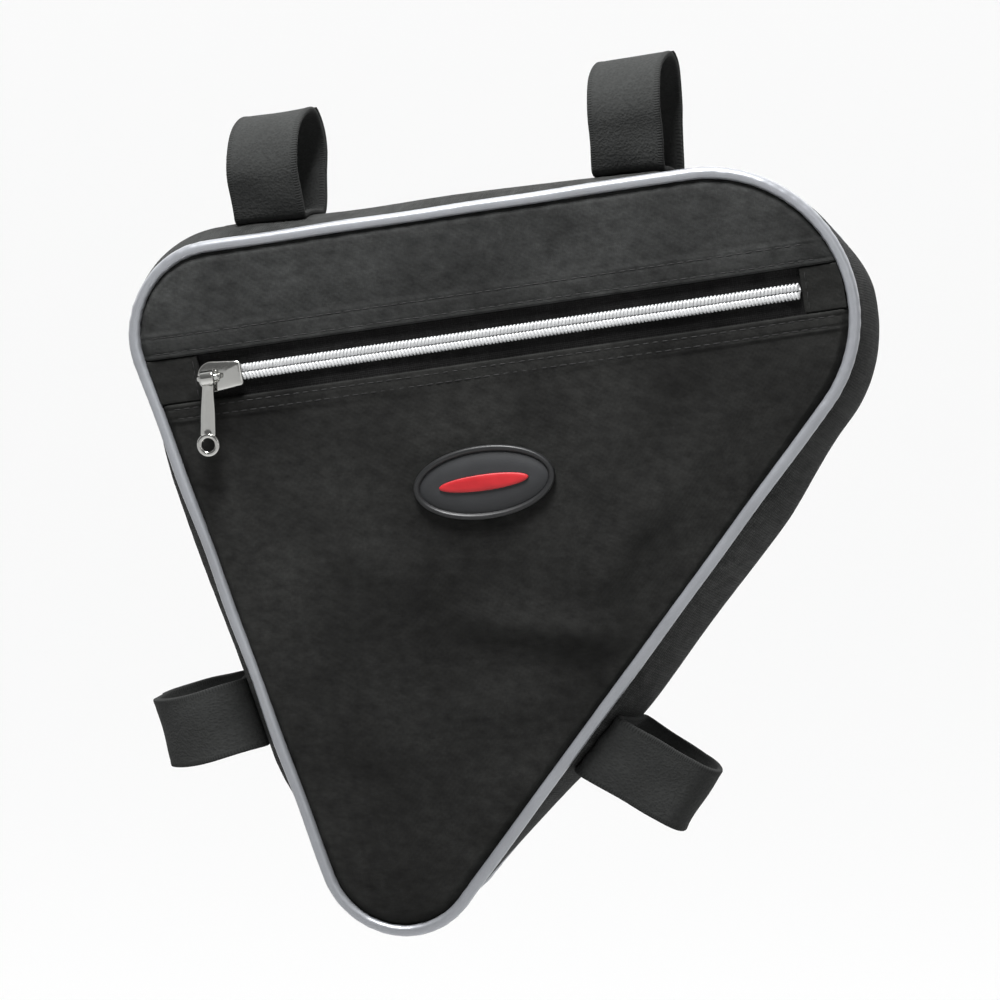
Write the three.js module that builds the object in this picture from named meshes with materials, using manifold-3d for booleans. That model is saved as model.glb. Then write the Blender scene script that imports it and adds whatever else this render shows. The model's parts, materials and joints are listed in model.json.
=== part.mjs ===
// Bicycle frame bag: a wedge-shaped fabric bag that hangs in a bicycle's main triangle.
// Two loops go round the top tube, one goes round the seat tube and one hangs free on the front edge.
// Millimetres, +Z up. The origin is on the top tube's axis, midway between the two top loops.
// +X points to the bicycle's front, and the panel with the zip faces -Y.
// The bag hangs along the top tube, so its pieces are drawn level and then tilted with that tube.

import * as THREE from 'three';
import Module from 'manifold-3d';
import { mergeVertices } from 'three/addons/utils/BufferGeometryUtils.js';
import { ParametricGeometry } from 'three/addons/geometries/ParametricGeometry.js';

const degree = Math.PI / 180;
const clearance = 0.3;

// The bicycle's tubes, which aren't built
const topTubeTilt = 9.2 * degree;
const topTubeDiameter = 27;
const seatTubeDiameter = 28.5;
const seatTubeLean = 15.9 * degree;

// Seam outline: a wedge with three round corners, measured along and across the top tube
const bagLength = 247.3;
const bagHeight = 243.7;
const bagRear = -114.7;
const bagDrop = 24.8;
const rearLean = 11.1 * degree;
const rearCornerRadius = 30;
const frontCornerRadius = 48.5;
const tipRadius = 27;
const backCornerTuck = 2;
const backCornerDrop = 9;

// Fabric
const seamDepth = 50;
const fabricWall = 1.5;
const panelCrown = 4;
const crownReach = 55;
const rearBulge = 9;
const frontBulge = 9.3;
const topBulge = 5;
const rearCornerBulge = 4;
const frontCornerBulge = 5;
const frontTopBulge = 1;
const frontCornerTurn = [5 * degree, 35 * degree];
const tipBulge = 0.5;
const sideEase = 45;
const tipEase = 95;
const topEase = 15;
const pipingDiameter = 4;

// Zip
const zipDrop = 68.6;
const slotWidth = 16;
const tapeWidth = 15;
const tapeWall = 0.8;
const rowWidth = 2.7;
const rowHeight = 2.2;
const frontTabLength = 14.5;
const tabWall = 1.2;

// Slider and pull
const sliderRear = -93;
const sliderLength = 15.6;
const sliderNose = 10.6;
const sliderTail = 8.6;
const plateWall = 1.4;
const flangeWall = 0.9;
const flangeStart = 4.7;
const flangeInset = 0.8;
const plateCorner = 1;
const neckLength = 2.4;
const neckWidth = 2;
const bailLength = 9.2;
const bailWidth = 2;
const bailWall = 1.8;
const bailShift = -3.4;
const barClearance = 0.35;
const eyeWall = 0.9;
const eyeLength = 4.6;
const pullLength = 27;
const pullWall = 1.8;
const stemWidth = 5.2;
const grooveWidth = 1;
const grooveDepth = 0.5;
const ringDiameter = 8.2;
const ringHole = 4.4;

// Badge
const badgeAlong = 0;
const badgeDrop = 117;
const badgeLength = 49;
const badgeWidth = 25;
const badgeRimHeight = 2.4;
const badgeFaceHeight = 1.5;
const badgeRimWidth = 2;
const badgeRimBevel = 0.6;
const barLength = 31;
const barWidth = 5.5;
const barHeight = 0.7;

// Straps
const strapWidth = 25;
const strapWall = 1.8;
const strapRootRadius = 4;
const strapRootDepth = 8;
const tubeClearance = 1.2;
const topStrapMiddle = 2.6;
const topStrapSpacing = 126.2;
const topStrapLean = 7 * degree;
const topStrapSkew = 5 * degree;
const seatStrapDown = 129;
const seatTubeDistance = 29;
const freeStrapUp = 71.6;
const freeStrapReach = 46;
const freeStrapRadius = 9;
const freeStrapLean = 5 * degree;
const freeStrapToFront = 10;

// Broad dents of the front panel, from the badge: shares of the bag's length and height, and millimetres
const panelDents = [
  { along: -0.26, down: 0.16, longReach: 34, shortReach: 16, turn: -60 * degree, depth: 1.2 },
  { along: 0.13, down: 0.31, longReach: 40, shortReach: 12, turn: -40 * degree, depth: 1.6 },
  { along: 0.3, down: -0.02, longReach: 30, shortReach: 14, turn: 50 * degree, depth: 1.2 },
];

const colours = {
  upperFabric: 0x3c3d3c,
  lowerFabric: 0x2c2c2b,
  gusset: 0x303030,
  piping: 0xb8bbbf,
  tape: 0x1c1c1c,
  chain: 0xe6e7e8,
  chrome: 0xd8dadd,
  badge: 0x1d1e1f,
  badgeBar: 0xb4202a,
  strap: 0x3f4040,
};

const wasm = await Module();
wasm.setup();

// A closed mesh as a solid that can be cut and joined
function solidOf(geometry) {
  const plain = geometry.clone();
  plain.deleteAttribute('normal');
  plain.deleteAttribute('uv');
  const merged = mergeVertices(plain, 1e-4);
  const vertProperties = new Float32Array(merged.attributes.position.array);
  const triVerts = new Uint32Array(merged.index.array);
  return new wasm.Manifold(new wasm.Mesh({ numProp: 3, vertProperties, triVerts }));
}

function geometryOf(solid) {
  const mesh = solid.getMesh();
  const geometry = new THREE.BufferGeometry();
  geometry.setAttribute('position', new THREE.BufferAttribute(new Float32Array(mesh.vertProperties), 3));
  geometry.setIndex(new THREE.BufferAttribute(new Uint32Array(mesh.triVerts), 1));
  geometry.computeVertexNormals();
  return geometry;
}

function piece(name, geometry, colour, roughness = 0.9, metalness = 0) {
  const material = new THREE.MeshStandardMaterial({ color: colour, roughness, metalness });
  const mesh = new THREE.Mesh(geometry, material);
  mesh.name = name;
  return mesh;
}

// Outward direction of the straight side that touches two circles, with the side's travel to its left
function sideNormal(from, to) {
  const run = Math.hypot(to.x - from.x, to.z - from.z);
  const ex = (to.x - from.x) / run;
  const ez = (to.z - from.z) / run;
  const sine = (from.r - to.r) / run;
  const cosine = Math.sqrt(1 - sine * sine);
  return { x: ez * cosine + ex * sine, z: -ex * cosine + ez * sine };
}

function touchPoint(circle, normal) {
  return { x: circle.x + circle.r * normal.x, z: circle.z + circle.r * normal.z };
}

// The line of a band pulled tight round some circles, counter-clockwise as seen from the front.
// Each station has its place, its outward direction and its distances to the ends of its side.
function tightBand(circles, sideSteps, arcSteps) {
  const stations = [];
  circles.forEach((circle, index) => {
    const before = circles.at(index - 1);
    const next = circles[(index + 1) % circles.length];
    const normalIn = sideNormal(before, circle);
    const normalOut = sideNormal(circle, next);
    const start = Math.atan2(normalIn.z, normalIn.x);
    const turn = THREE.MathUtils.euclideanModulo(Math.atan2(normalOut.z, normalOut.x) - start, 2 * Math.PI);
    for (let k = 0; k <= arcSteps; k += 1) {
      const angle = start + (turn * k) / arcSteps;
      const normal = { x: Math.cos(angle), z: Math.sin(angle) };
      stations.push({ ...touchPoint(circle, normal), normal, corner: index });
    }
    const head = touchPoint(circle, normalOut);
    const tail = touchPoint(next, normalOut);
    const length = Math.hypot(tail.x - head.x, tail.z - head.z);
    for (let k = 1; k < sideSteps; k += 1) {
      const share = k / sideSteps;
      stations.push({
        x: THREE.MathUtils.lerp(head.x, tail.x, share),
        z: THREE.MathUtils.lerp(head.z, tail.z, share),
        normal: normalOut,
        side: index,
        fromStart: share * length,
        toEnd: (1 - share) * length,
      });
    }
  });
  return stations;
}

// A surface through rows of points, one row for each station of a closed line.
// A closed row makes a ring, and an open row that starts and ends on one point makes a disc.
function surfaceThrough(rows, closed) {
  const around = rows.length;
  const across = closed ? rows[0].length : rows[0].length - 1;
  const surface = (u, v, target) => {
    const row = rows[Math.round(u * around) % around];
    const index = Math.round(v * across);
    target.copy(row[closed ? index % across : index]);
  };
  return new ParametricGeometry(surface, around, across);
}

// A flat band carried round a closed line: its outer face is on the line, and its width is along Y
function bandLoop(stations, wall, width) {
  const rows = stations.map(({ x, z, normal }) => {
    const inner = { x: x - normal.x * wall, z: z - normal.z * wall };
    return [
      new THREE.Vector3(x, width / 2, z),
      new THREE.Vector3(x, -width / 2, z),
      new THREE.Vector3(inner.x, -width / 2, inner.z),
      new THREE.Vector3(inner.x, width / 2, inner.z),
    ];
  });
  return surfaceThrough(rows, true);
}

// The three round corners of the seam: rear top, tip and front top. The front one can lie further in.
function seamCircles(tuck, drop) {
  const rear = { x: bagRear + rearCornerRadius, z: -bagDrop - rearCornerRadius, r: rearCornerRadius };
  const front = {
    x: bagRear + bagLength - frontCornerRadius - tuck,
    z: -bagDrop - frontCornerRadius - drop,
    r: frontCornerRadius,
  };
  const tipZ = -bagDrop - bagHeight + tipRadius;
  const reach = Math.cos(rearLean) * rear.x + Math.sin(rearLean) * (rear.z - tipZ) + tipRadius - rear.r;
  const tip = { x: reach / Math.cos(rearLean), z: tipZ, r: tipRadius };
  return [rear, tip, front];
}

const sideSteps = 8;
const cornerSteps = 8;
const frontSeam = tightBand(seamCircles(0, 0), sideSteps, cornerSteps);
const backSeam = tightBand(seamCircles(backCornerTuck, backCornerDrop), sideSteps, cornerSteps);
const sideBulges = [
  { start: rearCornerBulge, bulge: rearBulge, end: tipBulge, startEase: sideEase, endEase: sideEase },
  { start: tipBulge, bulge: frontBulge, end: frontCornerBulge, startEase: tipEase, endEase: sideEase },
  { start: frontTopBulge, bulge: topBulge, end: rearCornerBulge, startEase: topEase, endEase: topEase },
];

// The bulge of a corner, which fades towards the top at the front one
function cornerBulge({ corner, normal }) {
  const turn = Math.atan2(normal.z, normal.x);
  const toTop = THREE.MathUtils.smoothstep(turn, ...frontCornerTurn);
  const front = THREE.MathUtils.lerp(frontCornerBulge, frontTopBulge, toTop);
  return [rearCornerBulge, tipBulge, front][corner];
}

// How far the gusset stands out at its middle, past the line of its seams
function bulgeAt(station) {
  if (station.side === undefined) {
    return cornerBulge(station);
  }
  const { start, bulge, end, startEase, endEase } = sideBulges[station.side];
  const nearStart = 1 - THREE.MathUtils.smoothstep(station.fromStart, 0, startEase);
  const nearEnd = 1 - THREE.MathUtils.smoothstep(station.toEnd, 0, endEase);
  return bulge + (start - bulge) * nearStart + (end - bulge) * nearEnd;
}

// The front seam's straight edges, each with its outward direction
const seamEdges = frontSeam.map((station, index) => {
  const next = frontSeam[(index + 1) % frontSeam.length];
  const run = Math.hypot(next.x - station.x, next.z - station.z);
  return { x: station.x, z: station.z, outX: (next.z - station.z) / run, outZ: (station.x - next.x) / run };
});

// Distance from a point of the panel in to the front seam, and 0 outside it
function insetAt(x, z) {
  const depths = seamEdges.map((edge) => (edge.x - x) * edge.outX + (edge.z - z) * edge.outZ);
  return Math.max(0, Math.min(...depths));
}

function dentAt(x, z) {
  return panelDents.reduce((sum, { along, down, longReach, shortReach, turn, depth }) => {
    const dx = x - badgeAlong - along * bagLength;
    const dz = z + badgeDrop + down * bagHeight;
    const lengthwise = (dx * Math.cos(turn) + dz * Math.sin(turn)) / longReach;
    const crosswise = (-dx * Math.sin(turn) + dz * Math.cos(turn)) / shortReach;
    return sum + depth * Math.exp(-lengthwise * lengthwise - crosswise * crosswise);
  }, 0);
}

// How far a panel stands out from its seam: a low cushion that levels off away from the seam
function crownAt(x, z) {
  const rise = Math.min(1, insetAt(x, z) / crownReach);
  return panelCrown * (1 - (1 - rise) * (1 - rise));
}

function frontFaceY(x, z) {
  return -(seamDepth + fabricWall) / 2 - crownAt(x, z) + dentAt(x, z);
}

// A panel inside a seam, as a disc of rings; side is -1 for the front panel and 1 for the back one
const panelInset = pipingDiameter / 2 + clearance;
const panelRings = [0, 0.22, 0.42, 0.6, 0.76, 0.9, 1];
function panelGeometry(seam, side) {
  const centre = new THREE.Vector2();
  seam.forEach(({ x, z }) => centre.add(new THREE.Vector2(x, z)));
  centre.divideScalar(seam.length);
  const rows = seam.map(({ x, z, normal }) => {
    const edge = new THREE.Vector2(x - normal.x * panelInset, z - normal.z * panelInset);
    const face = (share, wall) => {
      const at = centre.clone().lerp(edge, share);
      const dent = side < 0 ? dentAt(at.x, at.y) : 0;
      const out = seamDepth / 2 + crownAt(at.x, at.y) - dent + wall;
      return new THREE.Vector3(at.x, side * out, at.y);
    };
    const inner = panelRings.map((share) => face(share, -fabricWall / 2));
    const outer = panelRings.map((share) => face(share, fabricWall / 2)).reverse();
    const row = [...inner, ...outer];
    return side < 0 ? row : row.reverse();
  });
  return surfaceThrough(rows, false);
}

function blockGeometry(x, y, z) {
  const geometry = new THREE.BoxGeometry(x[1] - x[0], y[1] - y[0], z[1] - z[0]);
  return geometry.translate((x[0] + x[1]) / 2, (y[0] + y[1]) / 2, (z[0] + z[1]) / 2);
}

// A flat outline seen from the front, carried towards the front by a depth
function extruded(outline, depth, curveSegments) {
  const options = { depth, bevelEnabled: false, curveSegments };
  return new THREE.ExtrudeGeometry(outline, options).rotateX(Math.PI / 2);
}

// The front panel in two parts, above and below the zip's slot
function frontPanels() {
  const whole = solidOf(panelGeometry(frontSeam, -1));
  const far = bagLength + bagHeight;
  const above = blockGeometry([-far, far], [-far, far], [-zipDrop + slotWidth / 2, far]);
  const below = blockGeometry([-far, far], [-far, far], [-far, -zipDrop - slotWidth / 2]);
  return [
    piece('front_panel_upper', geometryOf(whole.intersect(solidOf(above))), colours.upperFabric),
    piece('front_panel_lower', geometryOf(whole.intersect(solidOf(below))), colours.lowerFabric),
  ];
}

function backPanel() {
  return piece('back_panel', panelGeometry(backSeam, 1), colours.lowerFabric);
}

// A point of the gusset at a share of its depth, from the front seam (0) to the back seam (1)
const halfDepth = seamDepth / 2 - pipingDiameter / 2 - clearance;
function gussetPoint(index, share, wall) {
  const station = frontSeam[index];
  const back = backSeam[index];
  const out = 4 * bulgeAt(station) * share * (1 - share) + wall;
  return new THREE.Vector3(
    THREE.MathUtils.lerp(station.x, back.x, share) + station.normal.x * out,
    THREE.MathUtils.lerp(-halfDepth, halfDepth, share),
    THREE.MathUtils.lerp(station.z, back.z, share) + station.normal.z * out,
  );
}

// The band between the seams. Its middle stands out by the bulge of each station.
const gussetSteps = 6;
function gusset() {
  const shares = Array.from({ length: gussetSteps + 1 }, (_, step) => step / gussetSteps);
  const rows = frontSeam.map((station, index) => {
    const outer = shares.map((share) => gussetPoint(index, share, fabricWall / 2)).reverse();
    const inner = shares.map((share) => gussetPoint(index, share, -fabricWall / 2));
    return [...outer, ...inner];
  });
  return piece('gusset', surfaceThrough(rows, true), colours.gusset);
}

// How far the gusset stands out under a strap at a share of its depth, from a place on the seam and along
// the strap's direction
function gussetUnderStrap(place, outward, share) {
  const middle = frontSeam.map((_, index) => {
    const point = gussetPoint(index, share, fabricWall / 2);
    const dx = point.x - place.x;
    const dz = point.z - place.z;
    return { along: dz * outward.x - dx * outward.z, out: dx * outward.x + dz * outward.z };
  });
  const reach = strapWidth / 2;
  const heights = middle.flatMap((head, index) => {
    const tail = middle[(index + 1) % middle.length];
    const crossings = [-reach, reach].map((limit) => (limit - head.along) / (tail.along - head.along));
    const cuts = crossings.filter((share) => share > 0 && share < 1);
    const under = Math.abs(head.along) <= reach ? [head.out] : [];
    return [...under, ...cuts.map((share) => THREE.MathUtils.lerp(head.out, tail.out, share))];
  });
  return Math.max(...heights);
}

// The line that a strap's root lies on: its height above a place on the seam, and its slope to the front.
// A level line has no slope. Both touch the gusset where it stands out most.
const rootSamples = 6;
function rootLine(place, outward, toFront, level) {
  const reach = strapRootDepth + strapRootRadius;
  const fronts = Array.from({ length: rootSamples + 1 }, (_, k) => reach * ((2 * k) / rootSamples - 1));
  const shareAt = (front) => 0.5 - (toFront + front) / (2 * halfDepth);
  const heights = fronts.map((front) => gussetUnderStrap(place, outward, shareAt(front)));
  const slope = level ? 0 : (heights[rootSamples] - heights[0]) / (2 * reach);
  return { slope, height: Math.max(...heights.map((height, k) => height - slope * fronts[k])) };
}

const pipingSides = 6;
function piping(name, seam, side) {
  const radius = pipingDiameter / 2;
  const rows = seam.map(({ x, z, normal }) => Array.from({ length: pipingSides }, (_, k) => {
    const angle = (2 * Math.PI * k) / pipingSides;
    const out = radius * Math.cos(angle);
    const depth = (side * seamDepth) / 2 - radius * Math.sin(angle);
    return new THREE.Vector3(x + normal.x * out, depth, z + normal.z * out);
  }));
  return piece(name, surfaceThrough(rows, true), colours.piping, 0.35, 0.2);
}

// Where the front panel ends at a level of the bag, towards the rear (-1) or the front (1)
const bisections = 24;
function panelEnd(z, side) {
  let inside = 0;
  let outside = side * bagLength;
  for (let k = 0; k < bisections; k += 1) {
    const middle = (inside + outside) / 2;
    if (insetAt(middle, z) > panelInset) {
      inside = middle;
    } else {
      outside = middle;
    }
  }
  return inside;
}

// A strip along the zip that follows the front panel, from one place along the bag to another or as far as
// the panel goes. Near and far are depths behind the panel's face, and low and high are heights from the zip.
const zipSteps = 16;
const zipCrossStep = 6;
function zipStrip({ from = -bagLength, to = bagLength, near, far, low, high }) {
  const crossSteps = Math.ceil((high - low) / zipCrossStep);
  const geometry = new THREE.BoxGeometry(1, far - near, high - low, zipSteps, 1, crossSteps);
  geometry.translate(0.5, (near + far) / 2, (low + high) / 2 - zipDrop);
  const place = geometry.attributes.position;
  for (let k = 0; k < place.count; k += 1) {
    const z = place.getZ(k);
    const start = Math.max(from, panelEnd(z, -1));
    const end = Math.min(to, panelEnd(z, 1));
    const x = THREE.MathUtils.lerp(start, end, place.getX(k));
    place.setXYZ(k, x, place.getY(k) + frontFaceY(x, z), z);
  }
  geometry.computeVertexNormals();
  return geometry;
}

const tapeNear = fabricWall + clearance;
const tapeFar = tapeNear + tapeWall;
const rowFar = tapeNear - clearance;
const rowNear = rowFar - rowHeight;
const sliderMiddle = sliderRear + sliderLength / 2;
const frontTabStart = bagRear + bagLength - pipingDiameter / 2 - frontTabLength;
const neckStart = sliderRear + 2 * clearance;
const neckEnd = neckStart + neckLength;

// The slider's neck parts the tapes, so each tape has a notch round it
function zipTapes() {
  const neck = solidOf(blockGeometry(
    [neckStart - clearance, neckEnd + clearance],
    [-seamDepth, 0],
    [-zipDrop - neckWidth / 2 - clearance, -zipDrop + neckWidth / 2 + clearance],
  ));
  const rows = [
    { name: 'zip_tape_upper', low: clearance / 2, high: tapeWidth },
    { name: 'zip_tape_lower', low: -tapeWidth, high: -clearance / 2 },
  ];
  return rows.map(({ name, low, high }) => {
    const strip = zipStrip({ near: tapeNear, far: tapeFar, low, high });
    return piece(name, geometryOf(solidOf(strip).subtract(neck)), colours.tape);
  });
}

function zipChain() {
  const middle = clearance / 2;
  const rows = [
    { name: 'zip_chain_upper', low: middle, high: middle + rowWidth },
    { name: 'zip_chain_lower', low: -middle - rowWidth, high: -middle },
  ];
  return rows.map(({ name, low, high }) => {
    const span = { from: neckEnd + clearance, to: frontTabStart - clearance };
    const strip = zipStrip({ ...span, near: rowNear, far: rowFar, low, high });
    return piece(name, strip, colours.chain, 0.4, 0.3);
  });
}

function zipTabs() {
  const high = slotWidth / 2 - clearance;
  const rows = [
    { name: 'zip_tab_rear', to: sliderRear - clearance },
    { name: 'zip_tab_front', from: frontTabStart },
  ];
  return rows.map(({ name, ...span }) => {
    const strip = zipStrip({ ...span, near: rowFar - tabWall, far: rowFar, low: -high, high });
    return piece(name, strip, colours.lowerFabric);
  });
}

// Slider plate in plan, wide and round at the nose and narrower at the tail
const noseSides = 6;
function sliderPlate(y) {
  const nose = sliderNose / 2;
  const tail = sliderTail / 2;
  const plan = new THREE.Shape();
  plan.moveTo(sliderLength, -tail + plateCorner);
  plan.lineTo(sliderLength, tail - plateCorner);
  plan.lineTo(sliderLength - plateCorner, tail);
  plan.lineTo(nose, nose);
  plan.absarc(nose, 0, nose, Math.PI / 2, (3 * Math.PI) / 2, false);
  plan.lineTo(sliderLength - plateCorner, -tail);
  plan.closePath();
  const geometry = extruded(plan, y[1] - y[0], noseSides);
  return geometry.translate(sliderRear, y[1], -zipDrop);
}

// Levels of the slider behind and in front of the zip, from the panel's face at the slider's corners
const sliderCorners = [0, sliderLength].flatMap((along) => [-1, 1].map((side) => (
  frontFaceY(sliderRear + along, -zipDrop + (side * sliderNose) / 2))));
const sliderFace = Math.min(...sliderCorners);
const sliderBack = Math.max(...sliderCorners);
const topPlateBack = sliderFace + rowNear - clearance;
const topPlateFront = topPlateBack - plateWall;
const eyeRadius = Math.hypot(bailWidth, bailWall) / 2 + barClearance + eyeWall;
const barMiddle = topPlateFront - clearance - eyeRadius;
const barFront = barMiddle - bailWall / 2;
const bailMiddle = sliderMiddle + bailShift;

function zipSlider() {
  const bottomPlate = [sliderBack + tapeFar + clearance, sliderBack + tapeFar + clearance + plateWall];
  const flangeInner = rowWidth + clearance / 2 + clearance;
  const flangeLength = [sliderRear + flangeStart, sliderRear + sliderLength - flangeInset];
  const flangeBack = sliderFace + tapeNear - clearance;
  const neckY = [topPlateFront + plateWall / 2, bottomPlate[1] - plateWall / 2];
  const neckZ = [-zipDrop - neckWidth / 2, -zipDrop + neckWidth / 2];
  const bailX = [bailMiddle - bailLength / 2, bailMiddle + bailLength / 2];
  const bailZ = [-zipDrop - bailWidth / 2, -zipDrop + bailWidth / 2];
  const arch = solidOf(blockGeometry(bailX, [barFront, topPlateBack - plateWall / 2], bailZ));
  const archHole = solidOf(blockGeometry(
    [bailX[0] + bailWall, bailX[1] - bailWall],
    [barFront + bailWall, topPlateFront],
    [bailZ[0] - clearance, bailZ[1] + clearance],
  ));
  const flangeY = [topPlateFront + plateWall / 2, flangeBack];
  const flanges = [-flangeInner - flangeWall, flangeInner].map((edge) => (
    solidOf(blockGeometry(flangeLength, flangeY, [-zipDrop + edge, -zipDrop + edge + flangeWall]))));
  const body = [
    solidOf(sliderPlate(bottomPlate)),
    solidOf(blockGeometry([neckStart, neckEnd], neckY, neckZ)),
    ...flanges,
    arch.subtract(archHole),
  ].reduce((sum, part) => sum.add(part), solidOf(sliderPlate([topPlateFront, topPlateBack])));
  return piece('zip_slider', geometryOf(body), colours.chrome, 0.15, 1);
}

// The pull turns on the bail's bar through an eye rolled round it. It hangs upright in the tilted bag.
const pullSides = 16;
function zipPull() {
  const holeRadius = eyeRadius - eyeWall;
  const eye = new THREE.CylinderGeometry(eyeRadius, eyeRadius, eyeLength, pullSides);
  const hole = new THREE.CylinderGeometry(holeRadius, holeRadius, eyeLength * 2, pullSides);
  const barrel = solidOf(eye.rotateZ(Math.PI / 2)).subtract(solidOf(hole.rotateZ(Math.PI / 2)));

  const ringZ = -pullLength + ringDiameter / 2;
  const outline = new THREE.Shape();
  const ringTop = Math.asin(stemWidth / ringDiameter);
  outline.moveTo(stemWidth / 2, -eyeRadius + eyeWall / 2);
  outline.lineTo(-stemWidth / 2, -eyeRadius + eyeWall / 2);
  outline.absarc(0, ringZ, ringDiameter / 2, Math.PI / 2 + ringTop, (5 * Math.PI) / 2 - ringTop, false);
  outline.closePath();
  const opening = new THREE.Path();
  opening.absarc(0, ringZ, ringHole / 2, 0, 2 * Math.PI, true);
  outline.holes.push(opening);
  const blade = extruded(outline, pullWall, pullSides);
  blade.translate(0, pullWall / 2, 0);
  blade.rotateY(topTubeTilt);

  const grooveX = [-grooveWidth / 2, grooveWidth / 2];
  const grooveY = [-pullWall, -pullWall / 2 + grooveDepth];
  const grooveZ = [ringZ + ringDiameter / 2 + grooveWidth, -eyeRadius - grooveWidth];
  const groove = blockGeometry(grooveX, grooveY, grooveZ);
  groove.rotateY(topTubeTilt);
  const body = solidOf(blade).subtract(solidOf(hole.clone())).subtract(solidOf(groove)).add(barrel);
  const mesh = piece('zip_pull', geometryOf(body), colours.chrome, 0.2, 1);
  mesh.position.set(bailMiddle, barMiddle, -zipDrop);
  return mesh;
}

// Oval disc with a raised rim that follows the panel: rows of inset from the edge and height above the back
const ovalSteps = 32;
function ovalDisc(halfLength, halfWidth, profile, base) {
  const rows = Array.from({ length: ovalSteps }, (_, k) => {
    const angle = (2 * Math.PI * k) / ovalSteps;
    return profile.map(({ inset, height }) => {
      const x = badgeAlong + Math.max(0, halfLength - inset) * Math.cos(angle);
      const z = -badgeDrop + Math.max(0, halfWidth - inset) * Math.sin(angle);
      const centred = inset >= halfWidth;
      const [atX, atZ] = centred ? [badgeAlong, -badgeDrop] : [x, z];
      return new THREE.Vector3(atX, frontFaceY(atX, atZ) - base - height, atZ);
    });
  });
  return surfaceThrough(rows, false);
}

function badge() {
  const profile = [
    { inset: badgeWidth / 2, height: 0 },
    { inset: 0, height: 0 },
    { inset: 0, height: badgeRimHeight - badgeRimBevel },
    { inset: badgeRimBevel, height: badgeRimHeight },
    { inset: badgeRimWidth - badgeRimBevel, height: badgeRimHeight },
    { inset: badgeRimWidth, height: badgeFaceHeight },
    { inset: badgeWidth / 2, height: badgeFaceHeight },
  ];
  const bar = [
    { inset: barWidth / 2, height: 0 },
    { inset: 0, height: 0 },
    { inset: barHeight / 2, height: barHeight },
    { inset: barWidth / 2, height: barHeight },
  ];
  const disc = ovalDisc(badgeLength / 2, badgeWidth / 2, profile, clearance);
  const stripe = ovalDisc(barLength / 2, barWidth / 2, bar, clearance + badgeFaceHeight + clearance);
  return [
    piece('badge', disc, colours.badge, 0.6),
    piece('badge_bar', stripe, colours.badgeBar, 0.5),
  ];
}

// Turns a piece so that its X points away from the bag and its Y runs along the bag's edge
function standOn(mesh, place, outward, toFront = 0) {
  const out = new THREE.Vector3(outward.x, 0, outward.z);
  const along = new THREE.Vector3(-outward.z, 0, outward.x);
  const front = new THREE.Vector3(0, -1, 0);
  mesh.position.set(place.x, -toFront, place.z);
  mesh.quaternion.setFromRotationMatrix(new THREE.Matrix4().makeBasis(out, along, front));
  return mesh;
}

// A strap's closed line: flat on the bag at its root, then round a tube's or a bend's circle
const strapSideSteps = 2;
const strapArcSteps = 11;
function strapLine(distance, radius, slope) {
  const rise = strapRootRadius * Math.hypot(1, slope);
  const root = (z) => ({ x: rise + slope * z, z, r: strapRootRadius });
  return tightBand(
    [{ x: distance, z: 0, r: radius }, root(strapRootDepth), root(-strapRootDepth)],
    strapSideSteps,
    strapArcSteps,
  );
}

// A strap's loop on the gusset at a place on the seam. It goes round a circle that far from the seam.
function strapLoop(name, place, outward, distance, radius, { shape, toFront = 0, level = true } = {}) {
  const { height, slope } = rootLine(place, outward, toFront, level);
  const base = height + clearance;
  const geometry = bandLoop(strapLine(distance - base, radius, slope), strapWall, strapWidth);
  const root = { x: place.x + outward.x * base, z: place.z + outward.z * base };
  const strap = piece(name, shape ? shape(geometry) : geometry, colours.strap);
  return standOn(strap, root, outward, toFront);
}

function loopRadius(tubeDiameter) {
  return tubeDiameter / 2 + tubeClearance + strapWall;
}

// The loops round the top tube hang upright, so they lean from it, and their rear runs sit a little forward
function topStraps() {
  const lean = new THREE.Matrix4().makeShear(-Math.tan(topStrapLean), 0, 0, 0, 0, Math.tan(topStrapSkew));
  const rows = [
    { name: 'top_strap_rear', x: topStrapMiddle - topStrapSpacing / 2 },
    { name: 'top_strap_front', x: topStrapMiddle + topStrapSpacing / 2 },
  ];
  return rows.map(({ name, x }) => {
    const place = { x: x - bagDrop * Math.tan(topStrapLean), z: -bagDrop };
    const shape = (geometry) => geometry.applyMatrix4(lean);
    return strapLoop(name, place, { x: 0, z: 1 }, bagDrop, loopRadius(topTubeDiameter), { shape });
  });
}

// A place on a straight side of the seam, at a distance from the side's start
function sidePlace(side, distance) {
  const circles = seamCircles(0, 0);
  const normal = sideNormal(circles[side], circles[(side + 1) % circles.length]);
  const head = touchPoint(circles[side], normal);
  return { normal, x: head.x - normal.z * distance, z: head.z + normal.x * distance };
}

function seatStrap() {
  const lean = seatTubeLean - topTubeTilt;
  const outward = { x: -Math.cos(lean), z: -Math.sin(lean) };
  const place = sidePlace(0, seatStrapDown);
  return strapLoop('seat_strap', place, outward, seatTubeDistance, loopRadius(seatTubeDiameter));
}

// The free loop starts beside the front seam and points a little higher than square to the bag's edge
function freeStrap() {
  const place = sidePlace(1, freeStrapUp);
  const turn = Math.atan2(place.normal.z, place.normal.x) + freeStrapLean;
  const outward = { x: Math.cos(turn), z: Math.sin(turn) };
  const distance = freeStrapReach - freeStrapRadius;
  const options = { toFront: freeStrapToFront, level: false };
  return strapLoop('free_strap', place, outward, distance, freeStrapRadius, options);
}

const bag = new THREE.Group();
bag.rotation.y = -topTubeTilt;
bag.add(
  ...frontPanels(),
  backPanel(),
  gusset(),
  piping('front_piping', frontSeam, -1),
  piping('back_piping', backSeam, 1),
  ...zipTapes(),
  ...zipChain(),
  ...zipTabs(),
  zipSlider(),
  zipPull(),
  ...badge(),
  ...topStraps(),
  seatStrap(),
  freeStrap(),
);

const frameBag = new THREE.Group();
frameBag.add(bag);

export default frameBag;
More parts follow.
